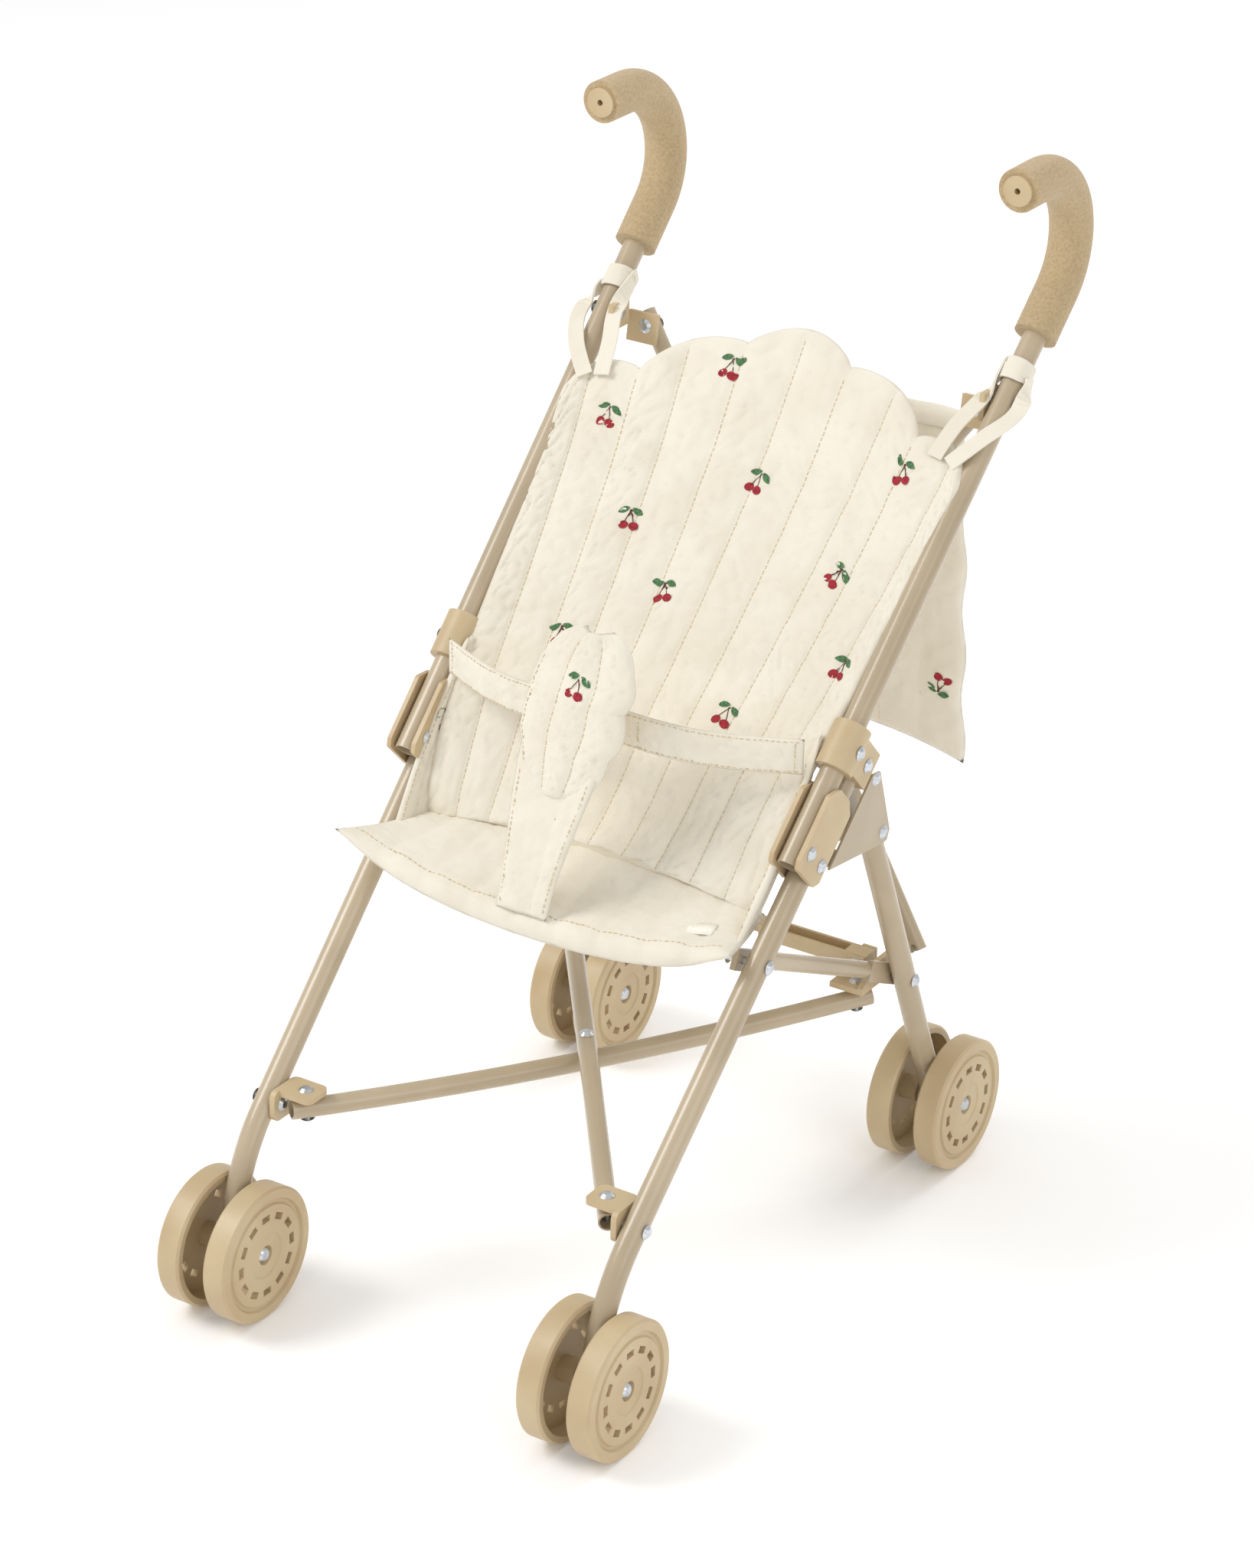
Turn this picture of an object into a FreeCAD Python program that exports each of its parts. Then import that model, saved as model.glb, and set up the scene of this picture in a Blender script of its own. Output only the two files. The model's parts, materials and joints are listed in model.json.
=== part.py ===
"""A doll stroller with a folding tube frame, built as separate pieces.

Millimetres, +Z up, +X to the stroller's right as it is seen from the front, the front faces -Y.
The origin is on the floor under the middle of the bounding box.
"""
import FreeCAD, Part
import math
import os
import Sketcher
from FreeCAD import Placement, Rotation, Vector

SIZES = {
    # frame
    "tube_radius": 6.0,
    "tube_wall": 1.0,
    "track_half": 105.9,
    "lean_angle": 1.52,
    "wheelbase": 327.4,
    "middle_shift": 22.9,
    "leg_angle": 44.0,
    "leg_line_y": -70.4,
    "leg_line_z": 161.7,
    "handle_offset": 15.3,
    "leg_top_along": 173.0,
    "handle_foot_along": 101.0,
    "foot_bend_y": -136.0,
    "handle_back_y": 234.0,
    "handle_bend_z": 492.0,
    "hook_radius": 40.0,
    "handle_tip_y": 173.5,
    "grip_start_along": 397.0,
    "grip_radius": 11.0,
    # wheels
    "wheel_radius": 35.5,
    "wheel_width": 13.3,
    "wheel_gap": 7.4,
    "rim_depth": 4.2,
    "web_thick": 3.0,
    "hub_radius": 6.5,
    "axle_radius": 2.5,
    "spin_play": 0.08,
    "window_count": 12,
    "window_radius": 20.5,
    "window_wide": 6.0,
    "window_tall": 3.6,
    # floor cross
    "bar_radius": 5.0,
    "clevis_half": 88.0,
    "front_clevis_y": -126.0,
    "front_clevis_z": 101.0,
    "rear_clevis_y": 107.0,
    "rear_clevis_z": 113.0,
    "bar_bow": 5.4,
    "front_screw_y": -132.0,
    "front_screw_z": 102.2,
    "rear_screw_y": 120.5,
    "rear_screw_z": 125.0,
    "bracket_thick": 3.0,
    "shelf_gap": 1.8,
    "lock_half": 84.0,
    "lock_behind": 14.0,
    "lock_above": 15.8,
    # rear leg, side plate and side link
    "leg_head_y": 68.5,
    "leg_head_z": 232.5,
    "plate_tip_y": 57.0,
    "plate_tip_z": 266.0,
    "plate_thick": 1.2,
    "plate_gap": 7.6,
    "link_front_y": -31.5,
    "link_front_z": 199.3,
    "link_radius": 4.5,
    "link_centre": 97.4,
    # rear braces
    "brace_half": 99.0,
    "brace_top_y": 190.0,
    "brace_top_z": 412.0,
    "brace_low_y": 145.0,
    "brace_low_z": 128.0,
    "brace_radius": 4.5,
    "brace_bow": 4.9,
    # fasteners
    "rivet_radius": 2.0,
    "rivet_head": 3.7,
    "head_height": 1.4,
    "pin_play": 0.06,
    # seat
    "cloth_thick": 6.0,
    "seat_half": 92.0,
    "back_half": 103.0,
    "strap_wide": 18.0,
    "strap_thick": 2.6,
}

doc = FreeCAD.newDocument("doll_stroller")
sheet = doc.addObject("Spreadsheet::Sheet", "sizes")
for row, (alias, value) in enumerate(SIZES.items(), 1):
    sheet.set("A%d" % row, alias)
    sheet.set("B%d" % row, str(value))
    sheet.setAlias("B%d" % row, alias)
doc.recompute()

nodes = []
SIDES = (("left", -1), ("right", 1))
X_AXIS = Vector(1, 0, 0)


def size(alias):
    return getattr(sheet, alias)


def bind(thing, **expressions):
    """Tie properties of an object to cells of the sheet."""
    for name, expression in expressions.items():
        thing.setExpression(name, expression)


def point(x, y, z):
    """A point from its place across, its distance behind the middle of the wheelbase, and its height."""
    return Vector(x, y - size("middle_shift"), z)


def keep(label, thing):
    """Name a finished sub-part."""
    thing.Label = label
    nodes.append(thing)
    return thing


# ---------------------------------------------------------------- frame lines

LEG_TURN = math.radians(size("leg_angle"))
ALONG = Vector(0, math.cos(LEG_TURN), math.sin(LEG_TURN))
BEHIND = Vector(0, math.sin(LEG_TURN), -math.cos(LEG_TURN))
AXLE_Y = size("wheelbase") / 2
AXLE_Z = size("wheel_radius")


def on_leg(along, behind, x=0.0):
    """A point by its distance along the front leg's line and behind it, in the side plane."""
    start = point(x, size("leg_line_y"), size("leg_line_z"))
    return start + ALONG * along + BEHIND * behind


def side_place(side):
    """The place of a side frame: on its track, leaning outward above the axles."""
    lean = Rotation(Vector(0, 1, 0), side * size("lean_angle"))
    foot = Vector(0, 0, AXLE_Z)
    return Placement(Vector(side * size("track_half"), 0, 0) + foot, lean) * Placement(-foot, Rotation())


def leg_x(side, z):
    """Where a side frame's plane is at a height."""
    return side * (size("track_half") + math.tan(math.radians(size("lean_angle"))) * (z - AXLE_Z))


# ---------------------------------------------------------------- building blocks

def cylinder(start, direction, radius, length, radius_cell=None):
    """A Part cylinder from its start point along a direction."""
    thing = doc.addObject("Part::Cylinder", "cylinder")
    thing.Radius = radius
    thing.Height = length
    if radius_cell:
        bind(thing, Radius=radius_cell)
    thing.Placement = Placement(start, Rotation(Vector(0, 0, 1), direction))
    return thing


def box(corner, length, width, height, turn=None):
    """A Part box from its low corner, turned about that corner."""
    thing = doc.addObject("Part::Box", "box")
    thing.Length = length
    thing.Width = width
    thing.Height = height
    thing.Placement = Placement(corner, turn or Rotation())
    return thing


def fuse(things):
    thing = doc.addObject("Part::MultiFuse", "fuse")
    thing.Shapes = things
    return thing


def cut(base, tools):
    """Take tools away from a base, each a document object."""
    thing = doc.addObject("Part::Cut", "cut")
    thing.Base = base
    thing.Tool = tools[0] if len(tools) == 1 else fuse(tools)
    return thing


def group(things):
    """Several separate solids as one sub-part."""
    thing = doc.addObject("Part::Compound", "group")
    thing.Links = things
    return thing


def feature(shape, place=None):
    thing = doc.addObject("Part::Feature", "feature")
    thing.Shape = shape
    if place:
        thing.Placement = place
    return thing


def pipe(edges, radius):
    """A round bar along a path of edges that starts straight or tangent."""
    path = Part.Wire(edges)
    first = edges[0]
    start = first.valueAt(first.FirstParameter)
    tangent = first.tangentAt(first.FirstParameter)
    ring = Part.Wire([Part.makeCircle(radius, start, tangent)])
    # the seam is turned away from the rivet holes
    ring.rotate(start, tangent, 33)
    return path.makePipeShell([ring], True, True, 2)


def tube(edges, radius, wall):
    return pipe(edges, radius).cut(pipe(edges, radius - wall))


def line(start, end):
    return Part.LineSegment(start, end).toShape()


def arc(start, middle, end):
    return Part.Arc(start, middle, end).toShape()


def prism(outline, direction):
    """A solid from a flat outline of points, pushed along a direction."""
    face = Part.Face(Part.makePolygon(list(outline) + [outline[0]]))
    return face.extrude(direction)


def rounded(shape, radius, direction):
    """Round a prism's edges that run along its push direction."""
    edges = [e for e in shape.Edges if abs(e.tangentAt(e.FirstParameter).dot(direction)) > 0.999]
    return shape.makeFillet(radius, edges)


def rivet(centre, axis, half):
    """A pin with a domed head at each end, as one fused solid; half is from its middle to a head's seat."""
    axis = Vector(axis).normalize()
    pin = cylinder(centre - axis * half, axis, size("rivet_radius"), 2 * half, "sizes.rivet_radius")
    heads = []
    for way in (-1, 1):
        head = doc.addObject("Part::Cone", "head")
        head.Radius2 = size("rivet_head") * 0.55
        bind(head, Radius1="sizes.rivet_head", Height="sizes.head_height")
        head.Placement = Placement(centre + axis * way * half, Rotation(Vector(0, 0, 1), axis * way))
        heads.append(head)
    return fuse([pin] + heads)


def rivet_hole(centre, axis, half, play=None):
    """The hole that a rivet runs in."""
    axis = Vector(axis).normalize()
    play = size("pin_play") if play is None else play
    return cylinder(centre - axis * half, axis, size("rivet_radius") + play, 2 * half)


# ---------------------------------------------------------------- rivets of a side frame

def side_point(side, local):
    return side_place(side).multVec(local)


def side_axis(side):
    """Straight across a side frame."""
    return side_place(side).Rotation.multVec(X_AXIS)


def frame_rivet_places():
    """Rivets through the side frame's tubes, with half of their grip length."""
    handle = -size("handle_offset")
    return {
        "collar_front": (on_leg(165, handle), 9.8),
        "collar_rear": (on_leg(165, 0), 8.7),
        "clamp_front": (on_leg(110, handle), 8.7),
        "clamp_rear": (on_leg(110, 0), 8.7),
    }


LINK_PIVOT = point(0, size("link_front_y"), size("link_front_z"))
BRACE_RIVET = on_leg(358, -size("handle_offset"))
FRONT_SCREW = point(0, size("front_screw_y"), size("front_screw_z"))
REAR_SCREW = point(0, size("rear_screw_y"), size("rear_screw_z"))


# ---------------------------------------------------------------- tubes

def foot_arc():
    """The front leg's bend: an arc from the straight leg down to the axle, tangent to the leg."""
    y = size("foot_bend_y")
    z = size("leg_line_z") + math.tan(LEG_TURN) * (y - size("leg_line_y"))
    top = point(0, y, z)
    axle = point(0, -AXLE_Y, AXLE_Z)
    chord = axle - top
    half_turn = math.atan2(-chord.z, -chord.y) - LEG_TURN
    outward = Vector(0, chord.z, -chord.y).normalize()
    middle = (top + axle) * 0.5 + outward * (chord.Length / 2 * math.tan(half_turn / 2))
    return top, middle, axle


def front_leg(label, side):
    top, middle, axle = foot_arc()
    end = on_leg(size("leg_top_along"), 0)
    edges = [line(end, top), arc(top, middle, axle)]
    body = feature(tube(edges, size("tube_radius"), size("tube_wall")), side_place(side))
    axis = side_axis(side)
    holes = [rivet_hole(side_point(side, frame_rivet_places()[name][0]), axis, 9)
             for name in ("collar_rear", "clamp_rear")]
    holes.append(rivet_hole(side_point(side, LINK_PIVOT), X_AXIS, 9))
    holes.append(rivet_hole(side_point(side, FRONT_SCREW), X_AXIS, 9))
    holes.append(cylinder(Vector(leg_x(side, AXLE_Z) - 9, axle.y, AXLE_Z), X_AXIS,
                          size("axle_radius") + size("pin_play"), 18))
    eye = cylinder(Vector(leg_x(side, AXLE_Z) - 6, axle.y, AXLE_Z), X_AXIS,
                   size("tube_radius"), 12, "sizes.tube_radius")
    keep(label, cut(fuse([body, eye]), holes))


def handle_path():
    """The handle tube: straight, bent upright, then hooked forward over a half round."""
    foot = on_leg(size("handle_foot_along"), -size("handle_offset"))
    upright = point(0, size("handle_back_y"), size("handle_bend_z"))
    # the first bend's radius makes it tangent to both the straight tube and the upright
    gap = (upright - foot)
    miss = gap.z - math.tan(LEG_TURN) * gap.y
    radius = miss / (math.cos(LEG_TURN) - math.tan(LEG_TURN) * (1 - math.sin(LEG_TURN)))
    centre = upright - Vector(0, radius, 0)
    bend_start = centre + BEHIND * radius
    middle = centre + (BEHIND + Vector(0, 1, 0)).normalize() * radius
    hook = size("hook_radius")
    hook_centre = upright - Vector(0, hook, 0)
    hook_middle = hook_centre + Vector(0, 1, 1).normalize() * hook
    hook_end = hook_centre + Vector(0, 0, hook)
    tip = Vector(0, size("handle_tip_y") - size("middle_shift"), hook_end.z)
    return foot, [arc(bend_start, middle, upright), arc(upright, hook_middle, hook_end),
                  line(hook_end, tip)], bend_start, tip


def handle_tube(label, side):
    foot, bends, bend_start, tip = handle_path()
    edges = [line(foot, bend_start)] + bends
    body = feature(tube(edges, size("tube_radius"), size("tube_wall")), side_place(side))
    axis = side_axis(side)
    holes = [rivet_hole(side_point(side, frame_rivet_places()[name][0]), axis, 9)
             for name in ("collar_front", "clamp_front")]
    holes.append(rivet_hole(side_point(side, BRACE_RIVET), axis, 9))
    keep(label, cut(body, holes))


def handle_grip(label, side):
    foot, bends, bend_start, tip = handle_path()
    start = on_leg(size("grip_start_along"), -size("handle_offset"))
    if (bend_start - start).dot(ALONG) < 0.5:
        raise ValueError("the grip must start on the straight tube")
    edges = [line(start, bend_start)] + bends
    sleeve = pipe(edges, size("grip_radius")).cut(pipe(edges, size("tube_radius") + 0.02))
    keep(label, feature(sleeve, side_place(side)))


def handle_cap(label, side):
    """The plug in the tube's end, with a flange and a small hole."""
    tip = handle_path()[3]
    inner = size("tube_radius") - size("tube_wall") - 0.02
    stem = cylinder(tip + Vector(0, 8, 0), Vector(0, -1, 0), inner, 8)
    flange = cylinder(tip, Vector(0, -1, 0), 7.6, 1.8)
    hole = cylinder(tip + Vector(0, 4, 0), Vector(0, -1, 0), 1.6, 7)
    cap = cut(fuse([stem, flange]), [hole])
    cap.Placement = side_place(side)
    keep(label, cap)


# ---------------------------------------------------------------- collar and clamp

def collar(label, side):
    """The plastic collar: a ring round the handle tube with a cheek block back to the leg's end."""
    offset = size("handle_offset")
    ring = cylinder(on_leg(153, -offset), ALONG, 9.6, 24)
    turn = Rotation(X_AXIS, size("leg_angle"))
    rear_wall = 7.4
    block = box(on_leg(155, rear_wall, -8.4), 16.8, 19.5, offset + rear_wall, turn)
    bores = [cylinder(on_leg(140, -offset), ALONG, size("tube_radius") + 0.03, 60)]
    bores.append(cylinder(on_leg(140, 0), ALONG, size("tube_radius") + 0.03, 60))
    shell = cut(fuse([ring, block]), bores)
    shell.Placement = side_place(side)
    axis = side_axis(side)
    holes = [rivet_hole(side_point(side, frame_rivet_places()[name][0]), axis, 14)
             for name in ("collar_front", "collar_rear")]
    keep(label, cut(shell, holes))


def side_clamp(label, side):
    """Two cheek plates that hold the handle tube's foot to the leg."""
    offset = size("handle_offset")
    outline = [on_leg(103, 5.5), on_leg(99, 1), on_leg(99, -offset - 5), on_leg(103, -offset - 7.5),
               on_leg(138, -offset - 7.5), on_leg(145, -offset), on_leg(145, -2), on_leg(140, 5.5)]
    cheeks = []
    for way in (-1, 1):
        start = Vector(way * (size("tube_radius") + 0.1), 0, 0)
        cheek = prism([p + start for p in outline], Vector(way * 2.4, 0, 0))
        cheeks.append(feature(rounded(cheek, 2.0, X_AXIS), side_place(side)))
    axis = side_axis(side)
    holes = [rivet_hole(side_point(side, frame_rivet_places()[name][0]), axis, 14)
             for name in ("clamp_front", "clamp_rear")]
    keep(label, cut(group(cheeks), holes))


def frame_rivets(label, side):
    axis = side_axis(side)
    rivets = [rivet(side_point(side, place), axis, half)
              for place, half in frame_rivet_places().values()]
    # the side link's pivot is longer, because the link lies inside the leg
    pivot = side_point(side, LINK_PIVOT)
    outer = pivot.x + side * 6.3
    inner = side * (size("link_centre") - 3.4)
    rivets.append(rivet(Vector((outer + inner) / 2, pivot.y, pivot.z), X_AXIS, abs(outer - inner) / 2))
    brace = side_point(side, BRACE_RIVET)
    rivets.append(rivet(brace - axis * side * 1.6, axis, 8.2))
    rivets.append(brace_pin(side))
    keep(label, group(rivets))


# ---------------------------------------------------------------- wheels and axles

def planes_axis(body, role):
    return next(a for a in body.Origin.OriginFeatures if a.Role == role)


def wheel(label, side, end, shell_way):
    """A spoked toy wheel: a rim, a web with a ring of windows, and a hub, turned about X."""
    body = doc.addObject("PartDesign::Body", label)
    planes = {p.Role: p for p in body.Origin.OriginFeatures}
    profile = body.newObject("Sketcher::SketchObject", "wheel_section")
    profile.AttachmentSupport = [(planes["XY_Plane"], "")]
    profile.MapMode = "FlatFace"
    wide = size("wheel_width")
    rim = size("wheel_radius")
    inner_rim = rim - size("rim_depth")
    hub = size("hub_radius")
    bore = size("axle_radius") + size("spin_play")
    web = size("web_thick")
    # from the outer face at x = wide to the open inner side at x = 0
    corners = [(0, bore), (0, hub), (wide - web - 1, hub), (wide - web - 1, inner_rim), (0, inner_rim),
               (0, rim - 1.2), (1.2, rim), (wide - 1.2, rim), (wide, rim - 1.2),
               (wide, rim - 5.6), (wide - 1.3, rim - 6.4), (wide - 1.3, rim - 8.2), (wide - 0.3, rim - 9.0),
               (wide - 0.3, 12.4), (wide - 0.9, 11.6), (wide - 0.9, 5.2), (wide - 2.6, 4.9),
               (wide - 2.6, bore)]
    for start, end_corner in zip(corners, corners[1:] + corners[:1]):
        profile.addGeometry(Part.LineSegment(Vector(start[0], start[1], 0),
                                             Vector(end_corner[0], end_corner[1], 0)))
    for index in range(len(corners)):
        profile.addConstraint(Sketcher.Constraint("Coincident", index, 2, (index + 1) % len(corners), 1))
    turn = body.newObject("PartDesign::Revolution", "turned")
    turn.Profile = profile
    turn.ReferenceAxis = (profile, ["H_Axis"])
    turn.Angle = 360
    doc.recompute()
    full = body.Shape.Volume
    window = body.newObject("Sketcher::SketchObject", "window_outline")
    window.AttachmentSupport = [(planes["YZ_Plane"], "")]
    window.MapMode = "FlatFace"
    half_wide = size("window_wide") / 2
    half_tall = size("window_tall") / 2
    middle = size("window_radius")
    ring = [(-half_wide, middle - half_tall), (half_wide, middle - half_tall),
            (half_wide, middle + half_tall), (-half_wide, middle + half_tall)]
    for start, stop in zip(ring, ring[1:] + ring[:1]):
        window.addGeometry(Part.LineSegment(Vector(start[0], start[1], 0), Vector(stop[0], stop[1], 0)))
    for index in range(4):
        window.addConstraint(Sketcher.Constraint("Coincident", index, 2, (index + 1) % 4, 1))
    pocket = body.newObject("PartDesign::Pocket", "window")
    pocket.Profile = window
    pocket.Type = 1
    pocket.Midplane = True
    windows = body.newObject("PartDesign::PolarPattern", "windows")
    windows.Originals = [pocket]
    windows.Axis = (planes_axis(body, "X_Axis"), [""])
    windows.Angle = 360
    bind(windows, Occurrences="sizes.window_count")
    body.Tip = windows
    doc.recompute()
    if not body.Shape.Volume < full * 0.99:
        raise ValueError("the windows cut nothing from " + label)
    # shell_way is the side that the closed face looks to
    near = side * size("track_half") + shell_way * size("wheel_gap")
    turned = Rotation() if shell_way > 0 else Rotation(Vector(0, 0, 1), 180)
    body.Placement = Placement(point(near, end * AXLE_Y, AXLE_Z), turned)
    keep(label, body)


def axle(label, side, end):
    """A steel pin through the leg, with a pressed cap at each end."""
    reach = size("wheel_gap") + size("wheel_width") - 2.3
    centre = point(side * size("track_half"), end * AXLE_Y, AXLE_Z)
    pin = cylinder(centre - X_AXIS * reach, X_AXIS, size("axle_radius"), 2 * reach, "sizes.axle_radius")
    caps = []
    for way in (-1, 1):
        cap = doc.addObject("Part::Cone", "axle_cap")
        cap.Radius1 = 4.2
        cap.Radius2 = 2.6
        cap.Height = 1.5
        cap.Placement = Placement(centre + X_AXIS * way * reach, Rotation(Vector(0, 0, 1), X_AXIS * way))
        caps.append(cap)
    keep(label, fuse([pin] + caps))


# ---------------------------------------------------------------- floor cross

FRONT_CLEVIS = point(0, size("front_clevis_y"), size("front_clevis_z"))
REAR_CLEVIS = point(0, size("rear_clevis_y"), size("rear_clevis_z"))
CROSSING = (FRONT_CLEVIS + REAR_CLEVIS) * 0.5
CROSS_UP = Vector(0, FRONT_CLEVIS.z - REAR_CLEVIS.z, REAR_CLEVIS.y - FRONT_CLEVIS.y).normalize()


def across(centre, x):
    return Vector(x, centre.y, centre.z)


def cross_bar(label, front_side, bow_way, hole_play):
    """One bar of the floor cross, bowed a little to pass the other one."""
    half = size("clevis_half")
    front = across(FRONT_CLEVIS, front_side * half)
    rear = across(REAR_CLEVIS, -front_side * half)
    run = (rear - front).normalize()
    start = front - run * 8
    stop = rear + run * 8
    middle = CROSSING + CROSS_UP * bow_way * size("bar_bow")
    body = feature(tube([arc(start, middle, stop)], size("bar_radius"), 0.9))
    holes = [rivet_hole(front, CROSS_UP, 12), rivet_hole(rear, CROSS_UP, 12),
             rivet_hole(CROSSING, CROSS_UP, 14, hole_play)]
    keep(label, cut(body, holes))


def cross_rivet():
    half = size("bar_bow") + size("bar_radius") + 0.1
    keep("cross_rivet", rivet(CROSSING, CROSS_UP, half))


def clevis_pin(clevis):
    """The rivet through a bracket's shelf and the bar's end under it."""
    high = size("bar_radius") + size("shelf_gap") + size("bracket_thick") + 0.2
    low = size("bar_radius") + 0.95
    return rivet(clevis + CROSS_UP * (high - low) / 2, CROSS_UP, (high + low) / 2)


def front_bracket(side):
    """An angle bracket: a cheek screwed to the leg and a shelf over the bar's end."""
    name = "left" if side < 0 else "right"
    thick = size("bracket_thick")
    surface = abs(leg_x(side, FRONT_SCREW.z)) - size("tube_radius")
    top = FRONT_CLEVIS.z + size("bar_radius") + size("shelf_gap")
    outer = surface - 0.5
    cheek_outline = [Vector(0, FRONT_SCREW.y - 7, FRONT_SCREW.z - 8),
                     Vector(0, FRONT_SCREW.y + 14, FRONT_SCREW.z - 8),
                     Vector(0, FRONT_SCREW.y + 14, top + thick), Vector(0, FRONT_SCREW.y - 7, top + thick)]
    cheek = prism([p + Vector(side * outer, 0, 0) for p in cheek_outline], Vector(-side * thick, 0, 0))
    cheek = rounded(cheek, 4.0, X_AXIS)
    low = min(side * outer, side * (size("clevis_half") - 8))
    shelf = Part.makeBox(outer - size("clevis_half") + 8, 17, thick,
                         Vector(low, FRONT_CLEVIS.y - 9, top))
    shelf = rounded(shelf, 3.5, Vector(0, 0, 1))
    body = feature(cheek.fuse(shelf).removeSplitter())
    clevis = across(FRONT_CLEVIS, side * size("clevis_half"))
    screw = Vector(leg_x(side, FRONT_SCREW.z), FRONT_SCREW.y, FRONT_SCREW.z)
    holes = [rivet_hole(clevis, CROSS_UP, 16), rivet_hole(screw, X_AXIS, 20)]
    keep("front_bracket_" + name, cut(body, holes))
    inner = outer - thick
    span = abs(screw.x) + size("tube_radius") + 0.3 - inner
    pins = [rivet(Vector(side * (inner + span / 2), screw.y, screw.z), X_AXIS, span / 2)]
    pins.append(clevis_pin(clevis))
    keep("front_bracket_pins_" + name, group(pins))


def rear_bracket(side):
    """The rear angle bracket: it also carries the knuckle of the lock arm."""
    name = "left" if side < 0 else "right"
    thick = size("bracket_thick")
    top = REAR_CLEVIS.z + size("bar_radius") + size("shelf_gap")
    outer = size("link_centre") - 1.2
    high = REAR_SCREW.z + 8
    cheek_outline = [Vector(0, REAR_SCREW.y - 22, top), Vector(0, REAR_SCREW.y + 7, top),
                     Vector(0, REAR_SCREW.y + 7, high), Vector(0, REAR_SCREW.y - 8, high),
                     Vector(0, REAR_SCREW.y - 22, top + thick + 1)]
    cheek = prism([p + Vector(side * outer, 0, 0) for p in cheek_outline], Vector(-side * thick, 0, 0))
    inner_edge = size("lock_half") - 7
    low = min(side * outer, side * inner_edge)
    shelf = Part.makeBox(outer - inner_edge, 30, thick,
                         Vector(low, REAR_SCREW.y - 22, top))
    plate = feature(cheek.fuse(shelf).removeSplitter())
    ears = []
    for way in (-1, 1):
        back = way * (LOCK_WIDE / 2 + EAR_GAP) - (EAR_THICK if way < 0 else 0)
        lock_x = size("lock_half")
        ears.append(lock_block(side, lock_x - 4, lock_x + 4, back, EAR_THICK, -8.0, 12.0))
    clevis = across(REAR_CLEVIS, side * size("clevis_half"))
    screw = Vector(leg_x(side, REAR_SCREW.z), REAR_SCREW.y, REAR_SCREW.z)
    knuckle = across(LOCK_PIVOT, side * size("lock_half"))
    inner = outer - thick
    # the shelf is notched for the screw's head
    head_room = cylinder(Vector(side * inner, screw.y, screw.z), X_AXIS * -side, size("rivet_head") + 0.5, 4)
    holes = [rivet_hole(clevis, CROSS_UP, 16), rivet_hole(screw, X_AXIS, 20),
             rivet_hole(knuckle, LOCK_AXIS, 12), head_room]
    keep("rear_bracket_" + name, cut(fuse([plate] + ears), holes))
    span = abs(screw.x) + size("tube_radius") + 0.3 - inner
    pins = [rivet(Vector(side * (inner + span / 2), screw.y, screw.z), X_AXIS, span / 2)]
    pins.append(clevis_pin(clevis))
    pins.append(rivet(knuckle, LOCK_AXIS, LOCK_WIDE / 2 + EAR_GAP + EAR_THICK + 0.1))
    keep("rear_bracket_pins_" + name, group(pins))


# ---------------------------------------------------------------- lock arms across the back

LOCK_PIVOT = REAR_CLEVIS + Vector(0, size("lock_behind"), 0) + CROSS_UP * size("lock_above")
LOCK_AXIS = CROSS_UP.cross(X_AXIS)
LOCK_TURN = Rotation(X_AXIS, math.degrees(math.atan2(-CROSS_UP.y, CROSS_UP.z)))
LOCK_TALL = 8.0
LOCK_WIDE = 10.0
EAR_THICK = 2.0
EAR_GAP = 0.35


def lock_block(side, from_x, to_x, back, wide, lift, tall):
    """A box square to the floor cross, from one distance from the middle to another, by the lock's pivot."""
    low = min(side * from_x, side * to_x)
    corner = across(LOCK_PIVOT, low) + LOCK_AXIS * back + CROSS_UP * lift
    return box(corner, abs(to_x - from_x), wide, tall, LOCK_TURN)


def lock_arm(label, side):
    """A channel arm from a rear bracket to the middle; its tongue passes beside the other arm's tongue."""
    half_wide = LOCK_WIDE / 2
    half_tall = LOCK_TALL / 2
    channel = lock_block(side, 24, size("lock_half") + 4, -half_wide, LOCK_WIDE, -half_tall, LOCK_TALL)
    groove = lock_block(side, 30, size("lock_half") - 9, -half_wide + 1.6, LOCK_WIDE - 3.2,
                        2 - half_tall, LOCK_TALL)
    tongue_wide = half_wide - 0.3
    tongue_back = 0.3 if side > 0 else -half_wide
    tongue = lock_block(side, -8, 25, tongue_back, tongue_wide, -half_tall, LOCK_TALL)
    pocket = lock_block(side, -3, 3, tongue_back + tongue_wide / 2 * (1 + side) - 1, 2, -3, 6)
    bore = rivet_hole(across(LOCK_PIVOT, side * size("lock_half")), LOCK_AXIS, 20)
    keep(label, cut(fuse([cut(channel, [groove]), cut(tongue, [pocket])]), [bore]))


# ---------------------------------------------------------------- rear legs, plates and links

LEG_HEAD = point(0, size("leg_head_y"), size("leg_head_z"))
PLATE_TIP = point(0, size("plate_tip_y"), size("plate_tip_z"))


def rear_leg(label, side):
    axle_point = point(0, AXLE_Y, AXLE_Z)
    run = (LEG_HEAD - axle_point).normalize()
    edges = [line(axle_point, LEG_HEAD + run * 6)]
    body = feature(tube(edges, size("tube_radius"), size("tube_wall")), side_place(side))
    eye = cylinder(Vector(leg_x(side, AXLE_Z) - 6, axle_point.y, AXLE_Z), X_AXIS,
                   size("tube_radius"), 12, "sizes.tube_radius")
    holes = [rivet_hole(side_point(side, LEG_HEAD), side_axis(side), 9)]
    holes.append(rivet_hole(Vector(leg_x(side, REAR_SCREW.z), REAR_SCREW.y, REAR_SCREW.z), X_AXIS, 9))
    holes.append(cylinder(Vector(leg_x(side, AXLE_Z) - 9, axle_point.y, AXLE_Z), X_AXIS,
                          size("axle_radius") + size("pin_play"), 18))
    keep(label, cut(fuse([body, eye]), holes))


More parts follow.
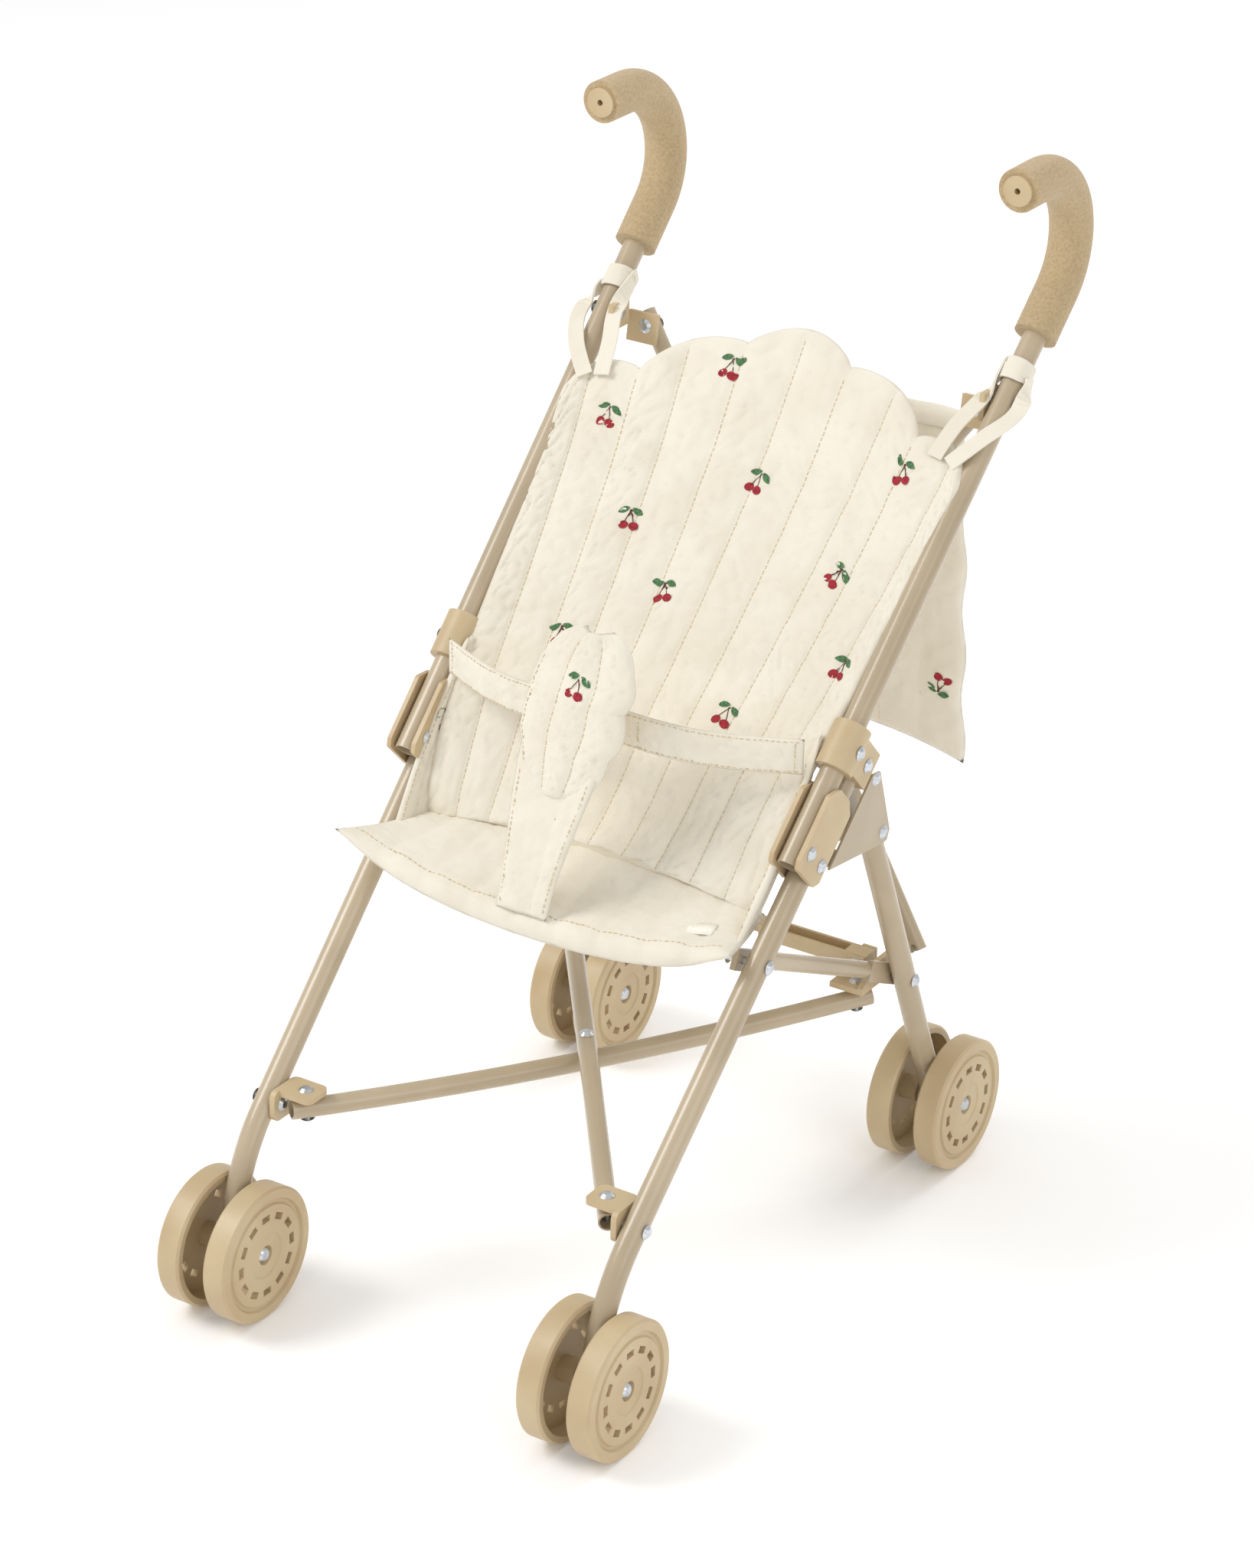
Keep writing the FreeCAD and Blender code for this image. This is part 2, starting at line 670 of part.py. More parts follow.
def side_plate(label, side):
    """A folded triangular plate: two cheeks joined by a web along the lower edge."""
    gap = size("plate_gap")
    thick = size("plate_thick")
    front_low = on_leg(112.0, 9.0)
    low_rear = LEG_HEAD + Vector(0, 1.0, -6.5)
    outline = [PLATE_TIP + Vector(0, -3.2, 3.4), PLATE_TIP + Vector(0, 4.2, 2.4),
               LEG_HEAD + Vector(0, 6.5, -1.0), LEG_HEAD + Vector(0, 4.5, -6.0), low_rear, front_low]
    solids = []
    for way in (-1, 1):
        start = Vector(way * gap, 0, 0)
        solids.append(prism([p + start for p in outline], Vector(way * thick, 0, 0)))
    down = (low_rear - front_low).normalize()
    web_start = front_low + down * 3
    web_end = front_low + down * ((low_rear - front_low).Length * 0.45)
    inward = Vector(0, -down.z, down.y)
    web = [web_start, web_end, web_end + inward * thick, web_start + inward * thick]
    solids.append(prism([p - Vector(gap + thick, 0, 0) for p in web], Vector(2 * (gap + thick), 0, 0)))
    shape = solids[0].fuse(solids[1:]).removeSplitter()
    axis = side_axis(side)
    ends = [side_point(side, LEG_HEAD), side_point(side, PLATE_TIP)]
    keep(label, cut(feature(shape, side_place(side)), [rivet_hole(p, axis, 14) for p in ends]))
    half = gap + thick + 0.1
    keep(label.replace("plate", "plate_pins"), group([rivet(p, axis, half) for p in ends]))


def side_link(label, side):
    """The strut inside the legs, flattened at both ends."""
    x = side * size("link_centre")
    front = across(side_point(side, LINK_PIVOT), x)
    rear = Vector(x, REAR_SCREW.y, REAR_SCREW.z)
    run = (rear - front).normalize()
    body = feature(tube([line(front + run * 11, rear - run * 24)], size("link_radius"), 0.8))
    turn = Rotation(X_AXIS, math.degrees(math.atan2(run.z, run.y)))
    up = Vector(0, -run.z, run.y)
    # the flattened ends lie against the outer side of the tube, next to the legs
    edge = abs(x) + size("link_radius") - 3.0
    low = min(side * edge, side * (edge + 3.0))
    front_flat = box(Vector(low, front.y, front.z) - run * 6 - up * 5.5, 3.0, 20, 11, turn)
    rear_flat = box(Vector(low, rear.y, rear.z) - run * 27 - up * 5.5, 3.0, 33, 11, turn)
    holes = [rivet_hole(front, X_AXIS, 12), rivet_hole(rear, X_AXIS, 12, 1.8)]
    keep(label, cut(fuse([body, front_flat, rear_flat]), holes))


# ---------------------------------------------------------------- rear braces

BRACE_TOP = point(0, size("brace_top_y"), size("brace_top_z"))
BRACE_LOW = point(0, size("brace_low_y"), size("brace_low_z"))
BRACE_OUT = X_AXIS.cross((BRACE_LOW - BRACE_TOP).normalize())


def rear_brace(label, top_side):
    """A straight tube from its hinge on a handle to the foot of the other side."""
    shift = BRACE_OUT * -top_side * size("brace_bow")
    top = across(BRACE_TOP, top_side * size("brace_half")) + shift
    low = across(BRACE_LOW, -top_side * size("brace_half")) + shift
    run = (low - top).normalize()
    length = (low - top).Length + 10
    outside = cylinder(top - run * 8, run, size("brace_radius"), length, "sizes.brace_radius")
    inside = cylinder(top - run * 9, run, size("brace_radius") - 0.8, length + 2)
    holes = [inside, rivet_hole(top, BRACE_OUT, 12), rivet_hole(low, BRACE_OUT, 12)]
    keep(label, cut(outside, holes))


def brace_hinge(side):
    """Where a brace hangs: the left one runs behind the right one, so that they can cross."""
    return across(BRACE_TOP, side * size("brace_half")) - BRACE_OUT * side * size("brace_bow")


def brace_pin(side):
    """The rivet through a brace's upper end and its bracket."""
    gap = 0.5
    plate = 2.6
    half = (2 * size("brace_radius") + gap + plate) / 2 + 0.25
    return rivet(brace_hinge(side) - BRACE_OUT * (gap + plate - 0.3) / 2, BRACE_OUT, half)


def brace_bracket(label, side):
    """The angle piece that carries a brace's upper end from the handle tube."""
    rivet_place = side_point(side, BRACE_RIVET)
    inner = rivet_place.x - side * (size("tube_radius") + 0.6)
    out = BRACE_OUT * -1
    hinge = brace_hinge(side)
    seat = hinge + out * (size("brace_radius") + 0.5)
    cheek = prism([Vector(inner, rivet_place.y - 8, rivet_place.z - 8),
                   Vector(inner, rivet_place.y + 8, rivet_place.z - 8),
                   Vector(inner, rivet_place.y + 8, rivet_place.z + 6),
                   Vector(inner, rivet_place.y - 8, rivet_place.z + 6)], Vector(-side * 2.6, 0, 0))
    up = X_AXIS.cross(out)
    span = abs(inner) - size("brace_half") + 7
    low = min(inner, inner - side * span)
    start = Vector(low, seat.y, seat.z) - up * 7
    flap = prism([start, start + X_AXIS * span, start + X_AXIS * span + up * 16, start + up * 16], out * 2.6)
    body = feature(cheek.fuse(flap).removeSplitter())
    # the flap is notched for the head of the rivet that holds the cheek
    head_room = cylinder(Vector(inner - side * 2.6, rivet_place.y, rivet_place.z), X_AXIS * -side,
                         size("rivet_head") + 0.6, 4)
    holes = [rivet_hole(rivet_place, side_axis(side), 14), rivet_hole(hinge, BRACE_OUT, 14), head_room]
    keep(label, cut(body, holes))


# ---------------------------------------------------------------- seat

def seat_back():
    """The quilted back: a slab between the handle tubes with a five-lobed top."""
    lobes = [(0, 84), (0.9, 90), (1.0, 200), (1.0, 300), (0.93, 322), (0.78, 330), (0.7, 350), (0.36, 358),
             (0.2, 371)]
    half = size("back_half")
    right = [on_leg(along, -11, share * half) for share, along in lobes if share]
    right = [on_leg(92, -11, half * 0.88)] + right[1:]
    left = [Vector(-p.x, p.y, p.z) for p in reversed(right)]
    slab = prism(right + left, BEHIND * -size("cloth_thick"))
    keep("seat_back", feature(slab))


def seat_base():
    """The quilted base: a shallow slab with a bowed front edge."""
    half = size("seat_half")
    front = point(0, -34, 199)
    mid_front = point(0, -58, 200)
    rear = point(0, -8, 214)
    outline = [across(front, half), across(mid_front, half * 0.55), across(mid_front, -half * 0.55),
               across(front, -half), across(rear, -half * 0.95), across(rear, half * 0.95)]
    normal = (outline[1] - outline[2]).cross(outline[4] - outline[2]).normalize()
    if normal.z < 0:
        normal = normal * -1
    flat = [p - normal * (p - outline[2]).dot(normal) for p in outline]
    keep("seat_base", feature(prism(flat, normal * size("cloth_thick"))))


def seat_sides():
    """The wings that close the seat between the base and the back."""
    wings = []
    for name, side in SIDES:
        outline = [point(0, -40, 212), point(0, -20, 221), on_leg(100, -19), on_leg(150, -20),
                   on_leg(118, -24)]
        start = Vector(side * 95.5, 0, 0)
        wings.append(feature(prism([p + start for p in outline], Vector(side * 3.0, 0, 0))))
    keep("seat_sides", group(wings))


def crotch_strap():
    """The strap that stands up from the front edge, with a round head."""
    foot = point(0, -62, 210)
    head = point(0, -22, 324)
    run = (head - foot).normalize()
    out = Vector(0, -run.z, run.y)
    outline = [foot + X_AXIS * 12, head - run * 40 + X_AXIS * 14, head - run * 26 + X_AXIS * 22,
               head + X_AXIS * 20, head + run * 13 + X_AXIS * 9]
    outline += [Vector(-p.x, p.y, p.z) for p in reversed(outline)]
    keep("crotch_strap", feature(prism(outline, out * size("cloth_thick"))))


def lap_belt(label, side):
    outer = point(side * 101.5, 14, 288)
    inner = point(side * 24, -32, 291)
    run = (inner - outer).normalize()
    thick = Vector(run.y, -run.x, 0).normalize() * size("strap_thick")
    up = Vector(0, 0, size("strap_wide") / 2)
    keep(label, feature(prism([outer - up, inner - up, inner + up, outer + up], thick)))


def top_ties():
    """A tie round each handle tube, from the back's shoulder."""
    ties = []
    for name, side in SIDES:
        foot = on_leg(372, -size("handle_offset"))
        loop = cut(cylinder(foot, ALONG, 8.4, 9), [cylinder(foot - ALONG * 5, ALONG, 6.5, 30)])
        loop.Placement = side_place(side)
        ties.append(loop)
    keep("top_ties", group(ties))


def storage_bag():
    """The flat bag that hangs behind the braces, with a rolled top edge."""
    body = Part.makeBox(164, 17, 196, point(-82, 207, 208))
    roll = Part.makeCylinder(6.5, 164, point(-82, 209, 408), X_AXIS)
    keep("storage_bag", feature(body.fuse(roll).removeSplitter()))


# ---------------------------------------------------------------- assembly

for name, side in SIDES:
    front_leg("front_leg_" + name, side)
    handle_tube("handle_tube_" + name, side)
    handle_grip("handle_grip_" + name, side)
    handle_cap("handle_cap_" + name, side)
    collar("collar_" + name, side)
    side_clamp("side_clamp_" + name, side)
    frame_rivets("frame_rivets_" + name, side)
    rear_leg("rear_leg_" + name, side)
    side_plate("side_plate_" + name, side)
    side_link("side_link_" + name, side)
    front_bracket(side)
    rear_bracket(side)
    brace_bracket("brace_bracket_" + name, side)
    for end_name, end in (("front", -1), ("rear", 1)):
        axle("%s_axle_%s" % (end_name, name), side, end)
        wheel("%s_wheel_%s_outer" % (end_name, name), side, end, side)
        wheel("%s_wheel_%s_inner" % (end_name, name), side, end, -side)

cross_bar("cross_bar_lower", -1, -1, size("pin_play"))
cross_bar("cross_bar_upper", 1, 1, size("pin_play"))
cross_rivet()
lock_arm("lock_arm_left", -1)
lock_arm("lock_arm_right", 1)
rear_brace("rear_brace_outer", -1)
rear_brace("rear_brace_inner", 1)
seat_back()
seat_base()
seat_sides()
crotch_strap()
lap_belt("lap_belt_left", -1)
lap_belt("lap_belt_right", 1)
top_ties()
storage_bag()

doc.recompute()
for thing in doc.Objects:
    if "Invalid" in thing.State or "Error" in thing.State:
        raise ValueError("failed object: " + thing.Label)
os.makedirs("parts", exist_ok=True)
for node in nodes:
    shape = node.Shape
    if shape.isNull() or not shape.isValid() or not shape.Solids:
        raise ValueError("bad shape: " + node.Label)
    shape.exportStep("parts/" + node.Label + ".step")
total = Part.makeCompound([node.Shape for node in nodes]).BoundBox
print(len(nodes), "nodes; box", [round(v, 1) for v in (total.XMin, total.XMax, total.YMin, total.YMax,
                                                       total.ZMin, total.ZMax)])
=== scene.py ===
# %% [markdown]
# # A folding doll stroller
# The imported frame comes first: tubes, brackets, rivets and wheels are already the right size.
# This lesson gives them their finishes, and sews the seat, belts, ties and bag that hang on them.

# %% Load the frame
import json
import math
import bpy
import bmesh
from mathutils import Matrix, Vector, noise


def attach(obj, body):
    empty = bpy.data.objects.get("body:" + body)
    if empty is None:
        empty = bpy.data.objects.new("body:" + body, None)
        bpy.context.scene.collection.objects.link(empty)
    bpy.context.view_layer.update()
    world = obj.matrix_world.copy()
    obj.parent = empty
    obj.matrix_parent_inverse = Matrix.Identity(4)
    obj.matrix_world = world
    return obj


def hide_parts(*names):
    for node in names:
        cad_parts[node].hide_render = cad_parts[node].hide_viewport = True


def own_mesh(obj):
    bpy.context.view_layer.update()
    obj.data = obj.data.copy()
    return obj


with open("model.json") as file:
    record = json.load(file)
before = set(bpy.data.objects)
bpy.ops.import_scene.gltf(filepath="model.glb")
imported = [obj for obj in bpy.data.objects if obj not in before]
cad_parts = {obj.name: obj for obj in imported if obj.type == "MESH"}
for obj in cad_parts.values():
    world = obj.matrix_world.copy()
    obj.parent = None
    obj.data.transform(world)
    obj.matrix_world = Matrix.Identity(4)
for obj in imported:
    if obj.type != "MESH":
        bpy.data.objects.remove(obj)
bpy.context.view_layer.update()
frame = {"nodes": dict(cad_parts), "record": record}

MM = 0.001
print("frame nodes:", len(frame["nodes"]))

# %% [markdown]
# ## Camera
# The view is from the front and a little above, turned to the stroller's right side. The lens is long,
# so the tubes stay nearly parallel.

# %% Camera
AZIMUTH, ELEVATION, ROLL = math.radians(32.18), math.radians(25.77), math.radians(1.30)
CAMERA_SPOT = (1.0665, -1.6951, 1.2097)
camera_data = bpy.data.cameras.new("camera")
camera = bpy.data.objects.new("camera", camera_data)
bpy.context.scene.collection.objects.link(camera)
bpy.context.scene.camera = camera
camera_data.lens = 103.45
camera_data.sensor_width = 36
camera_back = Vector((math.sin(AZIMUTH) * math.cos(ELEVATION), -math.cos(AZIMUTH) * math.cos(ELEVATION),
                      math.sin(ELEVATION)))
level_right = Vector((math.cos(AZIMUTH), math.sin(AZIMUTH), 0))
level_up = camera_back.cross(level_right)
camera_right = level_right * math.cos(ROLL) + level_up * math.sin(ROLL)
camera_up = camera_back.cross(camera_right)
camera_turn = Matrix((camera_right, camera_up, camera_back)).transposed().to_4x4()
camera.matrix_world = Matrix.Translation(CAMERA_SPOT) @ camera_turn
print("camera distance", round(camera.location.length, 2), "m")

# %% [markdown]
# ## Material helpers
# Colours are sRGB hex values turned to linear. One helper adds a node with its settings and links.

# %% Material helpers
def linear(hex_colour):
    """An sRGB hex colour as linear RGBA."""
    parts = [int(hex_colour[i:i + 2], 16) / 255 for i in (1, 3, 5)]
    return tuple(p / 12.92 if p <= 0.04045 else ((p + 0.055) / 1.055) ** 2.4 for p in parts) + (1.0,)


def add(material, kind, settings=(), **links):
    """Add a node with its settings, and feed its inputs from other nodes' outputs."""
    node = material.node_tree.nodes.new(kind)
    for key, value in dict(settings).items():
        if hasattr(node, key):
            setattr(node, key, value)
        else:
            node.inputs[key].default_value = value
    for key, source in links.items():
        material.node_tree.links.new(source, node.inputs[key.replace("_", " ")])
    return node


def surface(name, colour, rough, **more):
    """A material with a Principled shader; returns the material and its shader."""
    material = bpy.data.materials.new(name)
    material.use_nodes = True
    shader = material.node_tree.nodes["Principled BSDF"]
    shader.inputs["Base Color"].default_value = linear(colour)
    shader.inputs["Roughness"].default_value = rough
    for key, value in more.items():
        shader.inputs[key.replace("_", " ")].default_value = value
    return material, shader


def mottle(material, shader, colour_a, colour_b, scale, low=0.4, high=0.6, detail=3):
    """Vary the base colour between two close colours with soft noise; scale is patches per metre."""
    place = add(material, "ShaderNodeTexCoord")
    patches = add(material, "ShaderNodeTexNoise", {"Scale": scale, "Detail": detail},
                  Vector=place.outputs["Object"])
    ramp = add(material, "ShaderNodeValToRGB", {}, Fac=patches.outputs["Fac"])
    ramp.color_ramp.elements[0].position = low
    ramp.color_ramp.elements[0].color = linear(colour_a)
    ramp.color_ramp.elements[1].position = high
    ramp.color_ramp.elements[1].color = linear(colour_b)
    material.node_tree.links.new(ramp.outputs["Color"], shader.inputs["Base Color"])
    return place


def roughen(material, shader, place, scale, low, high):
    """Vary the roughness with soft noise."""
    smears = add(material, "ShaderNodeTexNoise", {"Scale": scale, "Detail": 4},
                 Vector=place.outputs["Object"])
    spread = add(material, "ShaderNodeMapRange", {"To Min": low, "To Max": high},
                 Value=smears.outputs["Fac"])
    material.node_tree.links.new(spread.outputs["Result"], shader.inputs["Roughness"])


def emboss(material, shader, height, strength, distance):
    """Raise the surface by a height, as a bump; distance is in metres."""
    bump = add(material, "ShaderNodeBump", {"Strength": strength, "Distance": distance}, Height=height)
    material.node_tree.links.new(bump.outputs["Normal"], shader.inputs["Normal"])


print("material helpers ready")

# %% [markdown]
# ## Powder-coated steel tube
# The tubes are steel with a smooth beige powder coat: glossy, with a faint orange-peel ripple about 2 mm
# across that breaks up the highlight along each tube.

# %% Powder coat
powder_coat, powder_shader = surface("beige_powder_coat", "#B5A489", 0.3, Coat_Weight=0.35,
                                     Coat_Roughness=0.12)
powder_place = mottle(powder_coat, powder_shader, "#AF9E82", "#BBAA8E", 14)
roughen(powder_coat, powder_shader, powder_place, 60, 0.26, 0.38)
peel = add(powder_coat, "ShaderNodeTexNoise", {"Scale": 450, "Detail": 1},
           Vector=powder_place.outputs["Object"])
emboss(powder_coat, powder_shader, peel.outputs["Fac"], 0.12, 0.0003)
print("made", powder_coat.name)

# %% [markdown]
# ## Moulded polypropylene
# Wheels, collars, clamps, brackets and lock arms are moulded in a warmer beige polypropylene. It is a
# little translucent and has a satin skin with faint flow marks.

# %% Moulded plastic
moulded, moulded_shader = surface("beige_polypropylene", "#C3AD88", 0.42, IOR=1.49, Subsurface_Weight=0.08,
                                  Subsurface_Scale=0.004)
moulded_place = mottle(moulded, moulded_shader, "#BFA883", "#C8B48F", 22)
roughen(moulded, moulded_shader, moulded_place, 90, 0.36, 0.5)
skin = add(moulded, "ShaderNodeTexNoise", {"Scale": 1500, "Detail": 2},
           Vector=moulded_place.outputs["Object"])
emboss(moulded, moulded_shader, skin.outputs["Fac"], 0.08, 0.0002)
print("made", moulded.name)

# %% [markdown]
# ## Zinc-plated steel
# The rivets and axle caps are zinc plated: bright, bluish, with a soft brushed haze.

# %% Zinc plate
zinc, zinc_shader = surface("zinc_plated_steel", "#C9CDD2", 0.3, Metallic=1.0)
zinc_place = mottle(zinc, zinc_shader, "#BFC4CA", "#D6D9DC", 300)
roughen(zinc, zinc_shader, zinc_place, 800, 0.2, 0.42)
print("made", zinc.name)

# %% [markdown]
# ## Foam grip
# The grips are closed-cell foam sleeves. The cells are about half a millimetre, drawn as 0.9 mm so that
# they show, and give a matt, grainy skin.

# %% Foam
foam, foam_shader = surface("foam_sleeve", "#B69F7A", 0.92, Sheen_Weight=0.15, Sheen_Roughness=0.6)
foam_place = mottle(foam, foam_shader, "#AF9772", "#BEA882", 700, 0.35, 0.65)
cells = add(foam, "ShaderNodeTexVoronoi", {"Scale": 1100}, Vector=foam_place.outputs["Object"])
emboss(foam, foam_shader, cells.outputs["Distance"], 0.35, 0.0005)
print("made", foam.name)

# %% [markdown]
# ## Quilted cotton and its print
# The seat is a cream percale. Its weave, about 0.3 mm, is too fine to show, so it is drawn at about
# 0.7 mm as a soft bump, with slubs on top. The cherries are printed in red, green and brown ink.

# %% Cotton and inks
cotton, cotton_shader = surface("cream_percale", "#E6DFCE", 0.86, Sheen_Weight=0.25, Sheen_Roughness=0.5)
cotton_place = mottle(cotton, cotton_shader, "#E4DCCA", "#E9E2D2", 35)
weave_place = add(cotton, "ShaderNodeMapping", {"Scale": (1400, 1400, 1400)},
                  Vector=cotton_place.outputs["Object"])
threads = add(cotton, "ShaderNodeTexVoronoi", {"Scale": 1.0, "Randomness": 0.35},
              Vector=weave_place.outputs["Vector"])
slubs = add(cotton, "ShaderNodeTexNoise", {"Scale": 160, "Detail": 5},
            Vector=cotton_place.outputs["Object"])
cloth_height = add(cotton, "ShaderNodeMath", {"operation": "MULTIPLY_ADD"})
cloth_height.inputs[1].default_value = 0.35
cotton.node_tree.links.new(threads.outputs["Distance"], cloth_height.inputs[0])
cotton.node_tree.links.new(slubs.outputs["Fac"], cloth_height.inputs[2])
emboss(cotton, cotton_shader, cloth_height.outputs["Value"], 0.22, 0.0008)


def ink(name, dark, light):
    """A printed ink that follows the cloth, a little uneven."""
    material, shader = surface(name, light, 0.82)
    mottle(material, shader, dark, light, 900, 0.35, 0.7)
    return material


cherry_red = ink("cherry_red_ink", "#7E1420", "#B82A36")
leaf_green = ink("leaf_green_ink", "#2F5A35", "#5F8A58")
stem_brown = ink("stem_brown_ink", "#4A2B1E", "#6A4430")
thread, thread_shader = surface("cotton_thread", "#D9C69F", 0.8)
mottle(thread, thread_shader, "#CDB88E", "#E2D2AF", 900)
label_tape, label_shader = surface("woven_label_tape", "#F6F1E4", 0.7)
mottle(label_tape, label_shader, "#F2ECDC", "#FAF6EC", 900)
PRINTED_CLOTH = [cotton, thread, cherry_red, leaf_green, stem_brown]
THREAD, RED, GREEN, BROWN = 1, 2, 3, 4      # places in that list
print("made", cotton.name, "and its inks")

# %% [markdown]
# ## The frame's finishes
# The record names each part's material slot, and each slot has one finish.

# %% Give the frame its finishes
FINISHES = {"painted_tube": powder_coat, "plastic": moulded, "steel": zinc, "foam": foam,
            "cotton": cotton}
slot_of = {part["node"]: part["material_slot"] for part in frame["record"]["subparts"]}
for node_name, node in frame["nodes"].items():
    for material_slot in node.material_slots:
        material_slot.material = FINISHES[slot_of[node_name]]
print("finished", len(slot_of), "frame nodes")

# %% [markdown]
# ## Where things are
# The seat is laid out on the slanted plane of the handle tubes: one axis runs along the tubes, one
# straight behind them. The frame tells where the plane is.

# %% Seat axes
SHIFT = 22.9
SLANT = math.radians(44.0)
ALONG = Vector((0, math.cos(SLANT), math.sin(SLANT)))
BEHIND = Vector((0, math.sin(SLANT), -math.cos(SLANT)))
LEG_START = Vector((0, -70.4 - SHIFT, 161.7))


def on_leg(x, along, behind):
    """A place by its distance across, along the leg's line and behind it, in millimetres, as metres."""
    return (LEG_START + Vector((x, 0, 0)) + ALONG * along + BEHIND * behind) * MM


def place(x, y, z):
    """A place in millimetres from the middle of the wheelbase, as metres."""
    return Vector((x, y - SHIFT, z)) * MM


def mix(a, b, share):
    """The value a share of the way from a to b."""
    return a + (b - a) * share


def smooth_step(value):
    """Ease from 0 to 1 as the value goes from 0 to 1, flat outside that."""
    value = min(1.0, max(0.0, value))
    return value * value * (3 - 2 * value)


print("the back starts at", [round(v, 3) for v in on_leg(0, 88, -12)])

# %% [markdown]
# ## A quilted panel
# Real quilting is two cloths with wadding between, sewn in lines: the cloth puffs between the seams and
# is pinched flat on them. The same is done here: a grid is laid on a smooth middle surface, puffed out by
# a rounded profile that falls to nothing on each seam, copied, and its copy puffed the other way. The two
# share their outer edge. Small wrinkles run off the seams, where the stitches gather the cloth.

# %% Quilted panel
class Panel:
    """A padded panel on a surface(u, v), with seams across u and puffed channels between them."""

    def __init__(self, middle, seams, pad, facing, wrinkle, seed, edge, back_share=0.55):
        self.middle = middle
        self.seams = sorted(seams)
        self.pad = pad * MM
        self.facing = facing
        self.wrinkle = wrinkle * MM
        self.seed = seed
        self.back_share = back_share
        self.edge = edge

    def normal(self, u, v):
        """The middle surface's normal, on the side that faces out."""
        step = 0.004
        across = self.middle(min(u + step, 1), v) - self.middle(max(u - step, -1), v)
        along = self.middle(u, min(v + step, 1)) - self.middle(u, max(v - step, 0))
        found = across.cross(along)
        if found.length < 1e-12:
            return self.facing.normalized()
        found.normalize()
        return found if found.dot(self.facing) > 0 else -found

    def puff(self, u, v):
        """From 0 on a seam or edge to 1 in the middle of a channel."""
        lines = [-1.0] + self.seams + [1.0]
        channel = 1.0
        for low, high in zip(lines, lines[1:]):
            if low <= u <= high:
                share = (u - low) / (high - low)
                channel = math.sqrt(max(0.0, math.sin(math.pi * share)))
        rim = min(1.0, (1 - abs(u)) / self.edge, v / self.edge, (1 - v) / self.edge)
        rim = math.sqrt(max(0.0, 1 - (1 - max(0.0, rim)) ** 2))
        return rim * (0.38 + 0.62 * channel)

    def ripple(self, u, v, spot):
        """Puckers that cross the channels."""
        stretched = Vector((u * 13 + self.seed, v * 30 + self.seed, 0))
        crease = max(0.0, 1 - abs(noise.noise(stretched)) * 4)
        broad = noise.noise(Vector((spot.x, spot.y, spot.z)) * 28 + Vector((self.seed, 0, 0)))
        fine = noise.noise(Vector((spot.x, spot.y, spot.z)) * 110 + Vector((0, self.seed, 0)))
        return self.wrinkle * (1.1 * broad + 0.9 * fine - 1.0 * crease * crease)

    def front(self, u, v, lift=0.0):
        """A place on the outer cloth, or lifted above it."""
        spot = self.middle(u, v)
        rise = self.puff(u, v)
        return spot + self.normal(u, v) * (rise * (self.pad + self.ripple(u, v, spot)) + lift)

    def back(self, u, v):
        """A place on the lining."""
        spot = self.middle(u, v)
        return spot - self.normal(u, v) * self.puff(u, v) * self.pad * self.back_share


def new_piece(name, body, shape, materials):
    """Turn a bmesh into a smooth-shaded piece that rides on a body."""
    mesh = bpy.data.meshes.new(name)
    shape.to_mesh(mesh)
    shape.free()
    for polygon in mesh.polygons:
        polygon.use_smooth = True
    for material in materials:
        mesh.materials.append(material)
    piece = bpy.data.objects.new(name, mesh)
    bpy.context.scene.collection.objects.link(piece)
    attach(piece, body)
    return piece


def sew_panel(shape, panel, across, along):
    """Add a panel's two cloths to a bmesh."""
    both = []
    for side in (panel.front, panel.back):
        made = bmesh.ops.create_grid(shape, x_segments=across, y_segments=along, size=1.0)["verts"]
        faces = {face for vert in made for face in vert.link_faces}
        for vert in made:
            vert.co = side(vert.co.x, (vert.co.y + 1) / 2)
        both.append((made, list(faces)))
    for _, faces in both:
        bmesh.ops.recalc_face_normals(shape, faces=faces)
    bmesh.ops.remove_doubles(shape, verts=both[0][0] + both[1][0], dist=2e-6)
    shape.faces.ensure_lookup_table()
    bmesh.ops.recalc_face_normals(shape, faces=list(shape.faces))


print("panel helper ready")

# %% [markdown]
# ## Stitches
# A stitch is a short raised dash of thread, in millimetres, and a seam is a row of them.

# %% Stitches
STITCH, PITCH = 1.9, 3.1


def dash(shape, start, end, normal, half_wide=0.22 * MM, tall=0.28 * MM):
    """One stitch: a small box from start to end, sunk a little at its ends."""
    run = end - start
    if run.length < 1e-6:
        return
    side = run.cross(normal)
    if side.length < 1e-9:
        return
    turn = Matrix((run.normalized(), side.normalized(), normal.normalized())).transposed().to_4x4()
    stretch = Matrix.Diagonal((run.length, 2 * half_wide, tall, 1))
    seat = Matrix.Translation((start + end) / 2)
    made = bmesh.ops.create_cube(shape, size=1.0, matrix=seat @ turn @ stretch)
    for face in {f for vert in made["verts"] for f in vert.link_faces}:
        face.material_index = THREAD


def stitch_line(shape, path, normal_at):
    """Dashes along a path(share), share from 0 to 1; normal_at(share) is the cloth's normal there."""
    steps = 240
    points = [path(i / steps) for i in range(steps + 1)]
    lengths = [0.0]
    for a, b in zip(points, points[1:]):
        lengths.append(lengths[-1] + (b - a).length)
    count = int(lengths[-1] / (PITCH * MM))

    def at(distance):
        index = max(1, next((i for i, length in enumerate(lengths) if length >= distance), steps))
        gap = lengths[index] - lengths[index - 1]
        share = 0 if gap < 1e-12 else (distance - lengths[index - 1]) / gap
        return mix(points[index - 1], points[index], share), (index - 1 + share) / steps

    for number in range(count):
        start, share = at(number * PITCH * MM + 0.4 * MM)
        end, share_end = at(number * PITCH * MM + (0.4 + STITCH) * MM)
        dash(shape, start, end, normal_at((share + share_end) / 2))
    return count


